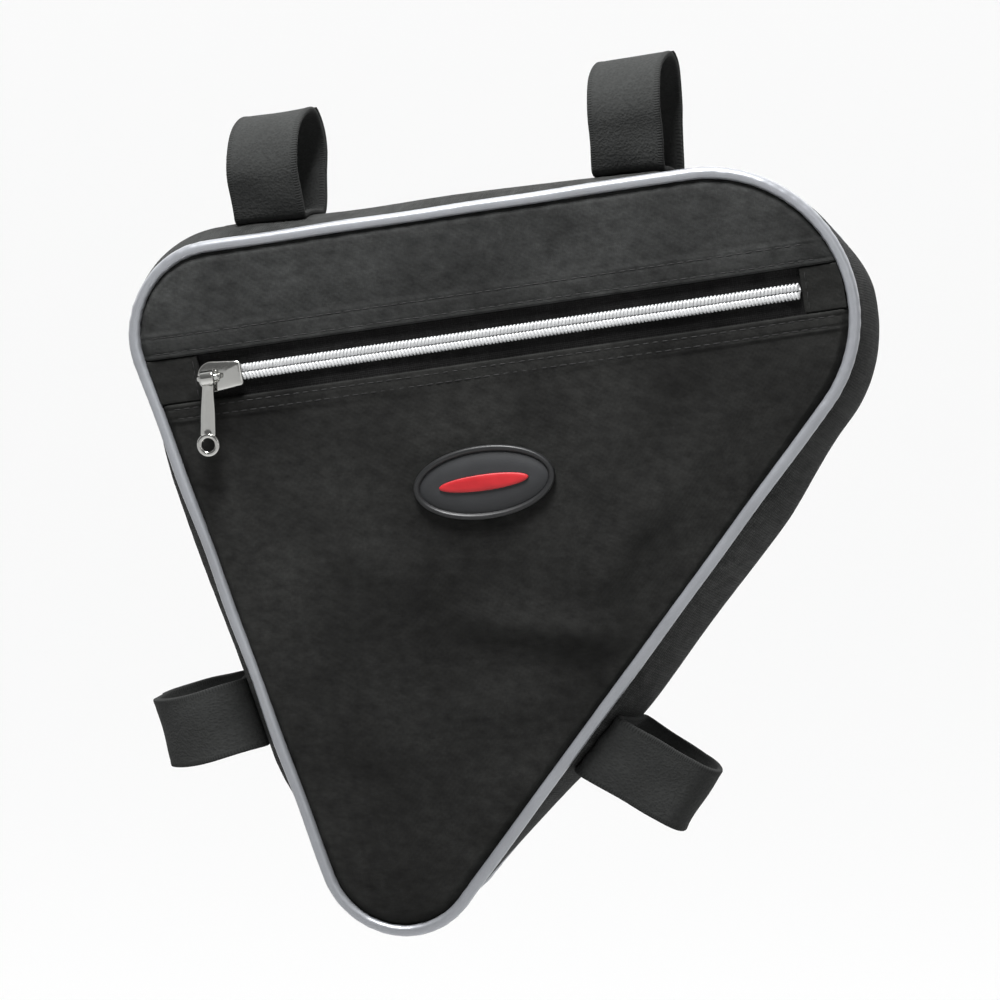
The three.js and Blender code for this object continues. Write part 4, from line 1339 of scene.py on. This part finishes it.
class StrapShape:
    """A strap's loop, read off its solid and laid on the gusset at its root.

    Its directions are out from the bag, along its edge and to the front. Its band's middle leans in a
    plane through it, which a least squares fit of the solid's corners gives, because its two edges lie at
    the same distance on both sides of that plane.
    """

    # Radius of the band's two bends at its root, and how far each lies from its middle
    ROOT_RADIUS = 4 * MM
    ROOT_DEPTH = 8 * MM
    WALL = 1.8 * MM
    # Height over which the band eases back from the gusset's shape to its own
    BEND_REACH = 13 * MM
    # How far the root stays clear of the gusset's cloth
    CLEARANCE = 0.12 * MM
    # Length of one row of the webbing's grid
    ROW_LENGTH = 0.9 * MM
    # How much thicker the selvedges are, how wide they are, and the distance over which they rise
    SELVEDGE_SHARE = 0.16
    SELVEDGE_WIDTH = 2.2 * MM
    SELVEDGE_EASE = 0.8 * MM
    # Height and length of the webbing's sideways sway and of its waves
    SWAY, SWAY_LENGTH = 0.25 * MM, 22 * MM
    WAVE, WAVE_LENGTH = 0.22 * MM, 19 * MM

    def __init__(self, node, out, gusset, bend=None):
        self.out = np.asarray(out)
        self.side = np.array([-self.out[2], 0.0, self.out[0]])
        self.gusset = gusset
        points = node_points(node)
        reach, side, front = points @ self.out, points @ self.side, -points[:, 1]
        columns = np.stack([np.ones_like(reach), reach, front], axis=1)
        self.lean = np.linalg.lstsq(columns, side, rcond=None)[0]
        self.half_width = np.abs(side - columns @ self.lean).max()
        self.to_front = (front.max() + front.min()) / 2 if bend else 0.0
        radius = bend or np.abs(front).max()
        half = self.WALL / 2
        self.place_on_seam(node)
        root_reach = self.ROOT_DEPTH + self.ROOT_RADIUS
        fronts = np.array([-root_reach, root_reach])
        heights = self.gusset_reach(self.root_side(fronts + self.to_front), fronts + self.to_front)
        self.slope = (heights[1] - heights[0]) / (2 * root_reach) if bend else 0.0
        self.low = (reach - self.slope * (front - self.to_front)).min()
        rise = self.low + self.ROOT_RADIUS * math.hypot(1, self.slope)
        roots = [
            (rise + self.slope * z, z + self.to_front, self.ROOT_RADIUS - half)
            for z in (self.ROOT_DEPTH, -self.ROOT_DEPTH)
        ]
        self.band = TightBand([(reach.max() - radius, self.to_front, radius - half), *roots])

    def place_on_seam(self, node):
        """Finds the distance along the seam of the strap's middle: the place that lies nearest to straight
        in from it, on the side of the bag that faces the strap's way."""
        points = node_points(node)
        middle = (points.min(0) + points.max(0))[[0, 2]] / 2
        run = np.linspace(0, self.gusset.seam.total, 4000, endpoint=False)
        place, normal = self.gusset.seam.at(run)
        offset = middle - place
        out = self.out[[0, 2]]
        beside = np.abs(offset @ out - np.hypot(*offset.T))
        faces_away = normal @ out < 0.8
        self.run = run[np.argmin(beside + 10 * faces_away)]
        self.run_side = self.gusset.seam.at(self.run)[0] @ self.side[[0, 2]]

    def root_side(self, front):
        """Where the band's middle lies along the bag's edge, at its root."""
        from_reach = self.lean[1] * self.out[[0, 2]] @ self.gusset.seam.at(self.run)[0]
        return self.lean[0] + from_reach + self.lean[2] * front

    def gusset_reach(self, side, front):
        """How far out the gusset's face lies at places along the strap's edge and to the front."""
        half_depth = self.gusset.half_depth
        shares = np.clip(0.5 - front / (2 * half_depth), 0.0, 1.0)
        run = self.run + side - self.run_side
        points = self.gusset.points(*np.broadcast_arrays(run, shares), self.gusset.front.shape.wall / 2)
        return points @ self.out

    def solid(self, run, side, height):
        """Level points at distances along the band, across it and out from its middle. Near its root the
        band is moved in or out so that it lies on the gusset."""
        place, normal = self.band.at(run)
        flat = place + height[..., None] * normal
        reach, front = flat[..., 0], flat[..., 1]
        middle = self.lean[0] + self.lean[1] * reach + self.lean[2] * front
        root = self.low + self.slope * (front - self.to_front)
        gap = root - self.gusset_reach(middle + side, front) - self.CLEARANCE
        reach = reach - gap * (1 - eased((reach - root - self.WALL) / self.BEND_REACH))
        points = reach[..., None] * self.out + (middle + side)[..., None] * self.side
        points[..., 1] = -front
        return points

    def ply(self, start, end, closed, wall, lift, seed, taper=None):
        """One layer of the webbing: a rounded section with thicker selvedges, carried along the band and a
        little wavy. lift moves it out, and taper thins it by a share at each distance."""
        rows = max(24, int((end - start) / self.ROW_LENGTH))
        run = np.linspace(start, end, rows, endpoint=not closed)
        section = rounded_section(self.half_width, wall / 2, min(0.7 * MM, wall * 0.42), 5, 26)
        edge = eased((np.abs(section[:, 0]) - self.half_width + self.SELVEDGE_WIDTH) / self.SELVEDGE_EASE)
        sway = ripples(run[:, None], np.zeros((1, len(section))), self.SWAY_LENGTH, seed)
        width = section[None, :, 0] + self.SWAY * sway
        thick = section[None, :, 1] * (1 + self.SELVEDGE_SHARE * edge)
        if taper is not None:
            thick = thick * taper(run)[:, None]
        wave = self.WAVE * ripples(run[:, None], section[None, :, 0], self.WAVE_LENGTH, seed + 1)
        points = self.solid(np.broadcast_to(run[:, None], width.shape), width, thick + wave + lift)
        uv_rows = np.append(run, end) if closed else run
        across = np.append(section[:, 0], section[0, 0])
        return part(points, (closed, True), uv_grid(uv_rows, across), caps=not closed)


# One stitch, as shares of its length and of its radius at each
STITCH_SHARES = np.array([0.0, 0.08, 0.3, 0.7, 0.92, 1.0])
STITCH_SWELL = np.array([0.0, 0.55, 1.0, 1.0, 0.55, 0.0])


def stitch_part(starts, heads, outs, stitch, radius):
    """Stitches as copies of one small capsule: starts are their first ends, heads their directions and outs
    the directions that they stand out in. Each is a circle that swells and shrinks along its length."""
    ring = ring_section(radius, 6)
    sides = np.cross(heads, outs)
    along = STITCH_SHARES[None, :, None, None] * stitch * heads[:, None, None]
    swell = STITCH_SWELL[None, :, None, None]
    across = ring[None, None, :, :1] * swell * sides[:, None, None]
    lift = (ring[None, None, :, 1:] * 0.8 * swell + radius * 0.6 * (swell - 0.5)) * outs[:, None, None]
    return part(starts[:, None, None] + along + across + lift, caps=True)


def stitch_row(line, outs, trim):
    """Stitches along a line of points, each with the direction that the cloth faces."""
    steps = np.linalg.norm(np.diff(line, axis=0), axis=1)
    run = np.append(0, np.cumsum(steps))
    starts_at = np.arange(0, run[-1] - trim.stitch, trim.stitch + trim.stitch_gap)

    def at(where, rows):
        return np.stack([np.interp(where, run, rows[:, k]) for k in range(3)], axis=-1)

    starts = at(starts_at, line)
    heads = unit(at(starts_at + trim.stitch, line) - starts)
    faces = square_to(at(starts_at + trim.stitch / 2, outs), heads)
    return stitch_part(starts, heads, faces, trim.stitch, trim.thread_radius)


# The free loop points this much higher than square to the bag's edge, and its far bend has this radius
FREE_STRAP_LEAN = math.radians(5)
FREE_STRAP_BEND = 9 * MM


def strap_rows():
    """Each strap's node, its direction out from the bag, and its far bend's radius where that isn't half
    of the loop's depth."""
    seam = TightBand(seam_circles("front_piping"))
    side_middle = (seam.corners[1, 1] + seam.corners[2, 0]) / 2
    turn = math.atan2(*seam.at(side_middle)[1][::-1]) + FREE_STRAP_LEAN
    top = to_level(-np.array(mounts["rear_top_strap_seat"]["axis"]))
    seat = to_level(-np.array(mounts["seat_strap_seat"]["axis"]))
    return (
        ("top_strap_rear", top, None),
        ("top_strap_front", top, None),
        ("seat_strap", seat, None),
        ("free_strap", (math.cos(turn), 0.0, math.sin(turn)), FREE_STRAP_BEND),
    )


# Operators


class FRAMEBAG_OT_front_panels(bpy.types.Operator):
    """Makes the front panel's cloth above and below the zip"""

    bl_idname = "frame_bag.front_panels"
    bl_label = "Front Panels"

    def execute(self, context):
        cloth = settings().cloth
        face = PanelFace("front_piping", -1)
        _, low, high = zip_levels()
        upper = woven_cloth("upper_cloth", cloth.upper_colour, cloth.thread_pitch)
        lower = woven_cloth("lower_cloth", cloth.lower_colour, cloth.thread_pitch)
        above, below = front_patch(face, high, True), front_patch(face, low, False)
        sew("front_cloth_upper", [above], upper, ["front_panel_upper"])
        sew("front_cloth_lower", [below], lower, ["front_panel_lower"])
        return {"FINISHED"}


class FRAMEBAG_OT_back_panel(bpy.types.Operator):
    """Makes the back panel's cloth"""

    bl_idname = "frame_bag.back_panel"
    bl_label = "Back Panel"

    def execute(self, context):
        cloth = bpy.data.materials["lower_cloth"]
        panel = back_disc(PanelFace("back_piping", 1))
        sew("back_cloth", [panel], cloth, ["back_panel"])
        return {"FINISHED"}


class FRAMEBAG_OT_gusset(bpy.types.Operator):
    """Makes the gusset's cloth between the two seams"""

    bl_idname = "frame_bag.gusset"
    bl_label = "Gusset"

    def execute(self, context):
        cloth = settings().cloth
        weave = woven_cloth("gusset_cloth", cloth.gusset_colour, cloth.gusset_pitch, 0.16, 0.2, 0.3 * MM)
        sew("gusset_cloth", [Gusset().part()], weave, ["gusset"])
        return {"FINISHED"}


class FRAMEBAG_OT_piping(bpy.types.Operator):
    """Makes the piping of both seams"""

    bl_idname = "frame_bag.piping"
    bl_label = "Piping"

    def execute(self, context):
        silver = coated_piping("silver_piping", settings().trim.piping_colour)
        for name, side, seed in (("front_piping", -1, 11), ("back_piping", 1, 13)):
            sew(name + "_cord", [piping_part(PanelFace(name, side), seed)], silver, [name])
        return {"FINISHED"}


class FRAMEBAG_OT_zip(bpy.types.Operator):
    """Makes the zip's tapes, end tabs and coils"""

    bl_idname = "frame_bag.zip"
    bl_label = "Zip"

    # Depths behind the face of the tapes, the end tabs and the coils' cores: near and far side
    TAPE_DEPTHS = (1.7 * MM, 2.5 * MM)
    TAB_DEPTHS = (0.1 * MM, 1.4 * MM)
    CORE_DEPTHS = (-0.05 * MM, 0.9 * MM)
    # Half the slit between the zip's two halves
    HALF_SLIT = 0.15 * MM
    # How far the coils stop short of the chain's front end, and the cores of the chain's outer edge
    COIL_END = 0.3 * MM
    CORE_EDGE = 0.5 * MM

    def execute(self, context):
        cloth, trim = settings().cloth, settings().trim
        face = PanelFace("front_piping", -1)
        middle, _, _ = zip_levels()
        tape = woven_cloth("zip_tape", cloth.tape_colour, 0.7 * MM, 0.2, 0.2, 0.12 * MM)
        for name, side in (("zip_tape_upper", 1), ("zip_tape_lower", -1)):
            lo, hi = level_box(name)
            levels = sorted((middle + side * self.HALF_SLIT, middle + side * (hi[2] - lo[2])))
            strip = strip_part(face, lo[0], hi[0], *levels, *self.TAPE_DEPTHS)
            sew(name + "_cloth", [strip], tape, [name])
        folded = bpy.data.materials["lower_cloth"]
        for name in ("zip_tab_rear", "zip_tab_front"):
            lo, hi = level_box(name)
            tab = strip_part(face, lo[0], hi[0], lo[2], hi[2], *self.TAB_DEPTHS, 40, 12, 0.5 * MM)
            sew(name + "_cloth", [tab], folded, [name])
        bright = coil_plastic("bright_coil", trim.chain_colour)
        for name, side in (("zip_chain_upper", 1), ("zip_chain_lower", -1)):
            lo, hi = level_box(name)
            start, end = lo[0] + trim.wire_radius, hi[0] - trim.wire_radius - self.COIL_END
            width = hi[2] - lo[2]
            inside = sorted((middle + side * self.HALF_SLIT, middle + side * (width - self.CORE_EDGE)))
            core = strip_part(face, start, end, *inside, *self.CORE_DEPTHS, 160, 6, 0.4 * MM)
            coil = coil_part(face, start, end, middle, side)
            sew(name + "_coil", [coil, core], bright, [name])
        return {"FINISHED"}


class FRAMEBAG_OT_slider(bpy.types.Operator):
    """Makes the zip's slider and its pull"""

    bl_idname = "frame_bag.slider"
    bl_label = "Slider and Pull"

    def execute(self, context):
        metal = plated_metal("plated_metal", settings().trim.metal_colour)
        sew("zip_slider_metal", slider_parts(), metal, ["zip_slider"])
        sew("zip_pull_metal", pull_parts(), metal, ["zip_pull"], PULL)
        return {"FINISHED"}


class FRAMEBAG_OT_badge(bpy.types.Operator):
    """Makes the oval badge and its plain bar"""

    bl_idname = "frame_bag.badge"
    bl_label = "Badge"

    # The rim's round section, as shares of its width and height, from outside to inside
    RIM_SHARES = ((0.0, 0.3), (0.0, 0.62), (0.06, 0.82), (0.2, 0.95), (0.42, 1.0), (0.64, 0.97), (0.84, 0.86))
    # Gap between the rim and the face, and how far the rim goes on below the face
    FACE_GAP = 0.1 * MM
    FACE_SINK = 0.25 * MM

    def execute(self, context):
        """The rim is a ring of round section, the face is a disc inside it, and the bar stands on that."""
        trim = settings().trim
        half_length, half_width = self.halves("badge")
        rim, high = trim.rim_width, trim.face_height
        sunk = high - self.FACE_SINK
        profile = [(half_width, 0.0), (0.15 * MM, 0.0)]
        profile += [(inset * rim, height * trim.rim_height) for inset, height in self.RIM_SHARES]
        profile += [(rim, high), (rim + 0.2 * MM, sunk), (half_width, sunk)]
        rubber = moulded_rubber("badge_rim", trim.rim_colour, 0.42, 0.5 * MM, 0.03 * MM)
        matt_rubber = moulded_rubber("badge_face", trim.face_colour, 0.6, 0.35 * MM, 0.08 * MM)
        red_rubber = moulded_rubber("badge_bar", trim.bar_colour, 0.45, 0.6 * MM, 0.02 * MM)
        outer = (half_length, half_width)
        self.oval("badge_oval_rim", outer, profile, BADGE_SINK, rubber, "badge_rubber", "badge")

        low = sunk - 0.3 * MM
        inner = (half_length - rim - self.FACE_GAP, half_width - rim - self.FACE_GAP)
        face_width = inner[1]
        disc = [
            (face_width, low), (0.1 * MM, low), (0.0, low + 0.1 * MM), (0.0, high - 0.25 * MM),
            (0.3 * MM, high), (face_width * 0.5, high + 0.1 * MM), (face_width, high + 0.15 * MM),
        ]
        self.oval("badge_oval_face", inner, disc, BADGE_SINK, matt_rubber, "badge_rubber", "badge")

        bar_halves = self.halves("badge_bar")
        bar_width = bar_halves[1]
        bar = [
            (bar_width, 0.0), (0.0, 0.0), (0.0, 0.45 * MM), (0.12 * MM, 0.66 * MM), (0.4 * MM, 0.8 * MM),
            (bar_width * 0.6, 0.86 * MM), (bar_width, 0.88 * MM),
        ]
        base = BADGE_SINK + high
        self.oval("badge_red_bar", bar_halves, bar, base, red_rubber, "badge_bar", "badge_bar")
        return {"FINISHED"}

    @staticmethod
    def halves(node):
        """Half the length and half the width of a node."""
        lo, hi = level_box(node)
        return (hi[0] - lo[0]) / 2, (hi[2] - lo[2]) / 2

    @staticmethod
    def oval(name, halves, profile, base, finish, slot, node):
        """Sews one oval piece of the badge onto the panel."""
        piece = oval_part(PanelFace("front_piping", -1), *halves, profile, base)
        sew(name, [piece], finish, [node])


class FRAMEBAG_OT_straps(bpy.types.Operator):
    """Makes the webbing loops, with the overlap on the side away from the zip"""

    bl_idname = "frame_bag.straps"
    bl_label = "Straps"

    # The loose end: its wall, how far back from the band's start it begins, and the length that it thins over
    TAIL_WALL = 1.3 * MM
    TAIL_START = 14 * MM
    TAIL_TAPER = 11 * MM
    # The root's box of stitches: how far inside the root's ends and the webbing's edges it lies
    BOX_FROM_END = 5 * MM
    BOX_FROM_EDGE = 3 * MM

    def execute(self, context):
        cloth, trim = settings().cloth, settings().trim
        thread = bpy.data.materials["sewing_thread"]
        gusset = Gusset()
        webbing = None
        for number, (node, out, bend) in enumerate(strap_rows()):
            strap = StrapShape(node, out, gusset, bend)
            if webbing is None:
                webbing = hook_webbing("hook_webbing", cloth.strap_colour, strap.half_width)
            seed = settings().seed + 20 + 4 * number
            band = strap.band
            parts = [strap.ply(0, band.total, True, strap.WALL, 0.0, seed)]
            if bend is None:
                # The tail comes over the tube and ends on the rear run
                parts.append(self.tail(strap, seed))
            sew(node + "_webbing", parts, webbing, [node])
            sew(node + "_stitches", self.root_stitches(strap, trim), thread)
        return {"FINISHED"}

    def tail(self, strap, seed):
        """The loose end of the webbing, which lies on the loop and thins out."""
        end = strap.band.corners[0, 1] * 0.4

        def taper(run):
            return 0.04 + 0.96 * eased((end - run) / self.TAIL_TAPER)

        lift = (strap.WALL + self.TAIL_WALL) / 2
        return strap.ply(-self.TAIL_START, end, False, self.TAIL_WALL, lift, seed, taper)

    def root_stitches(self, strap, trim):
        """A box of stitches on the strap's root, inside the loop."""
        band = strap.band
        start, end = band.corners[1, 0] + self.BOX_FROM_END, band.corners[2, 1] - self.BOX_FROM_END
        side = strap.half_width - self.BOX_FROM_EDGE
        inner = -strap.WALL / 2
        corners = ((start, -side), (end, -side), (end, side), (start, side), (start, -side))
        parts = []
        for (run0, side0), (run1, side1) in zip(corners, corners[1:]):
            run, across = np.linspace(run0, run1, 40), np.linspace(side0, side1, 40)
            line = strap.solid(run, across, np.full(40, inner))
            raised = strap.solid(run, across, np.full(40, inner - MM))
            parts.append(stitch_row(line, (raised - line) / MM, trim))
        return parts


class FRAMEBAG_OT_stitching(bpy.types.Operator):
    """Sews the rows of stitches beside the zip and on its end tabs"""

    bl_idname = "frame_bag.stitching"
    bl_label = "Stitching"

    # How far the rows stop short of the seam, and of the tabs' inner ends and edges
    FROM_SEAM = 6 * MM
    FROM_TAB_END = 1.6 * MM
    FROM_TAB_EDGE = 1.2 * MM

    def execute(self, context):
        cloth, trim = settings().cloth, settings().trim
        thread = sewing_thread("sewing_thread", cloth.thread_colour)
        face = PanelFace("front_piping", -1)
        _, low, high = zip_levels()
        edge = face.seam.shrunk(self.FROM_SEAM)
        # Level of each row, and how far its thread stands out of the face
        rows = (
            (high + EDGE_ROW, 0.32 * MM),
            (high + trim.hem_upper - FOLD_ROW, 0.3 * MM),
            (low - EDGE_ROW, 0.32 * MM),
            (low - trim.hem_lower + FOLD_ROW, 0.3 * MM),
        )
        parts = []
        for level, proud in rows:
            ends = edge.at(np.array(edge.crossings(level)))[0][:, 0]
            parts.append(self.row(face, ends, (level, level), proud, trim))
        for name, inner_end, way in (("zip_tab_rear", 1, -1), ("zip_tab_front", 0, 1)):
            corners = level_box(name)
            along = corners[inner_end][0] + way * self.FROM_TAB_END
            levels = (corners[0][2] + self.FROM_TAB_EDGE, corners[1][2] - self.FROM_TAB_EDGE)
            parts.append(self.row(face, (along, along), levels, -0.05 * MM, trim))
        sew("zip_stitches", parts, thread)
        return {"FINISHED"}

    @staticmethod
    def row(face, ends, levels, proud, trim):
        """A row of stitches over the panel's face, between two places along and two levels."""
        along = np.linspace(*ends, 160)
        up = np.linspace(*levels, 160)
        line = np.stack([along, face.depth(along, up) - proud, up], axis=-1)
        return stitch_row(line, np.broadcast_to(FRONT_AXIS, line.shape), trim)


class FRAMEBAG_OT_stage(bpy.types.Operator):
    """Makes the camera, the lights, the room and the floor"""

    bl_idname = "frame_bag.stage"
    bl_label = "Stage"

    def execute(self, context):
        stage = settings().stage
        self.camera(context, stage)
        self.floor(stage)
        self.room(context, stage)
        aim = Vector(stage.camera_aim)
        self.light(*KEY_LIGHT, aim, stage.key_power)
        for row in FILL_LIGHTS:
            self.light(*row, aim, stage.fill_power)
        context.scene.view_settings.view_transform = "Standard"
        context.scene.view_settings.look = "None"
        return {"FINISHED"}

    @staticmethod
    def camera(context, stage):
        """The camera at the photograph's viewing angle."""
        data = bpy.data.cameras.new("camera")
        data.lens = stage.lens
        data.sensor_width = 36
        data.clip_end = SIGHT
        camera = linked("camera", data)
        camera.location = stage.camera_place
        aim = Vector(stage.camera_aim) - camera.location
        camera.rotation_euler = aim.to_track_quat("-Z", "Y").to_euler()
        context.scene.camera = camera

    @staticmethod
    def floor(stage):
        """A wide plain floor."""
        mesh = bpy.data.meshes.new("floor")
        ways = ((-1, -1), (1, -1), (1, 1), (-1, 1))
        corners = [(x * FLOOR_REACH, y * FLOOR_REACH, -stage.floor_drop) for x, y in ways]
        mesh.from_pydata(corners, [], [(0, 1, 2, 3)])
        finish = Finish("floor")
        finish.surface(Base_Color=tuple(stage.floor_colour), Roughness=0.9, Specular_IOR_Level=0.1)
        mesh.materials.append(finish.material)
        linked("floor", mesh)

    @staticmethod
    def room(context, stage):
        """The pale room, whose light rises by a smooth step from the zip's side to the back."""
        world = bpy.data.worlds.new("room")
        world.use_nodes = True
        tree = world.node_tree
        background = tree.nodes["Background"]
        background.inputs["Color"].default_value = (*stage.sky_colour, 1.0)
        # The room is bright behind the bag and dimmer on its zip's side
        direction = tree.nodes.new("ShaderNodeSeparateXYZ")
        fade = tree.nodes.new("ShaderNodeMapRange")
        fade.interpolation_type = "SMOOTHSTEP"
        fade.inputs["From Min"].default_value = ROOM_TURN[0]
        fade.inputs["From Max"].default_value = ROOM_TURN[1]
        fade.inputs["To Min"].default_value = stage.sky_strength * stage.dark_side
        fade.inputs["To Max"].default_value = stage.sky_strength
        tree.links.new(tree.nodes.new("ShaderNodeTexCoord").outputs["Generated"], direction.inputs[0])
        tree.links.new(direction.outputs["Y"], fade.inputs["Value"])
        # Seen directly, past the floor's edge, the room is as pale as the floor all round
        seen = tree.nodes.new("ShaderNodeMix")
        seen.inputs["B"].default_value = stage.backdrop
        tree.links.new(tree.nodes.new("ShaderNodeLightPath").outputs["Is Camera Ray"], seen.inputs["Factor"])
        tree.links.new(fade.outputs["Result"], seen.inputs["A"])
        tree.links.new(seen.outputs["Result"], background.inputs["Strength"])
        context.scene.world = world

    @staticmethod
    def light(name, place, size, aim, power):
        """A square soft light that points at the aim."""
        data = bpy.data.lights.new(name, "AREA")
        data.size = size
        data.energy = power
        light = linked(name, data)
        light.location = place
        light.rotation_euler = (aim - light.location).to_track_quat("-Z", "Y").to_euler()


class FRAMEBAG_PT_panel(bpy.types.Panel):
    """Lists the steps that sew the bag"""

    bl_label = "Frame Bag"
    bl_idname = "FRAMEBAG_PT_panel"
    bl_space_type = "VIEW_3D"
    bl_region_type = "UI"
    bl_category = "Frame Bag"

    def draw(self, context):
        for step in STEPS:
            self.layout.operator(step.bl_idname)


# The threads' material is made first because the straps' stitches use it
STEPS = (
    FRAMEBAG_OT_stage,
    FRAMEBAG_OT_front_panels,
    FRAMEBAG_OT_back_panel,
    FRAMEBAG_OT_gusset,
    FRAMEBAG_OT_piping,
    FRAMEBAG_OT_zip,
    FRAMEBAG_OT_slider,
    FRAMEBAG_OT_badge,
    FRAMEBAG_OT_stitching,
    FRAMEBAG_OT_straps,
)

GROUPS = (FrameBagShape, FrameBagCloth, FrameBagTrim, FrameBagStage, FrameBagSettings)


def register():
    """Registers the settings, the operators and the panel."""
    for group in (*GROUPS, *STEPS, FRAMEBAG_PT_panel):
        bpy.utils.register_class(group)
    bpy.types.Scene.frame_bag = PointerProperty(type=FrameBagSettings)


def unregister():
    """Takes them away again."""
    del bpy.types.Scene.frame_bag
    for group in reversed((*GROUPS, *STEPS, FRAMEBAG_PT_panel)):
        bpy.utils.unregister_class(group)


def main():
    """Sews the bag step by step."""
    register()
    for step in STEPS:
        group, name = step.bl_idname.split(".")
        getattr(getattr(bpy.ops, group), name)()


if __name__ == "__main__":
    main()
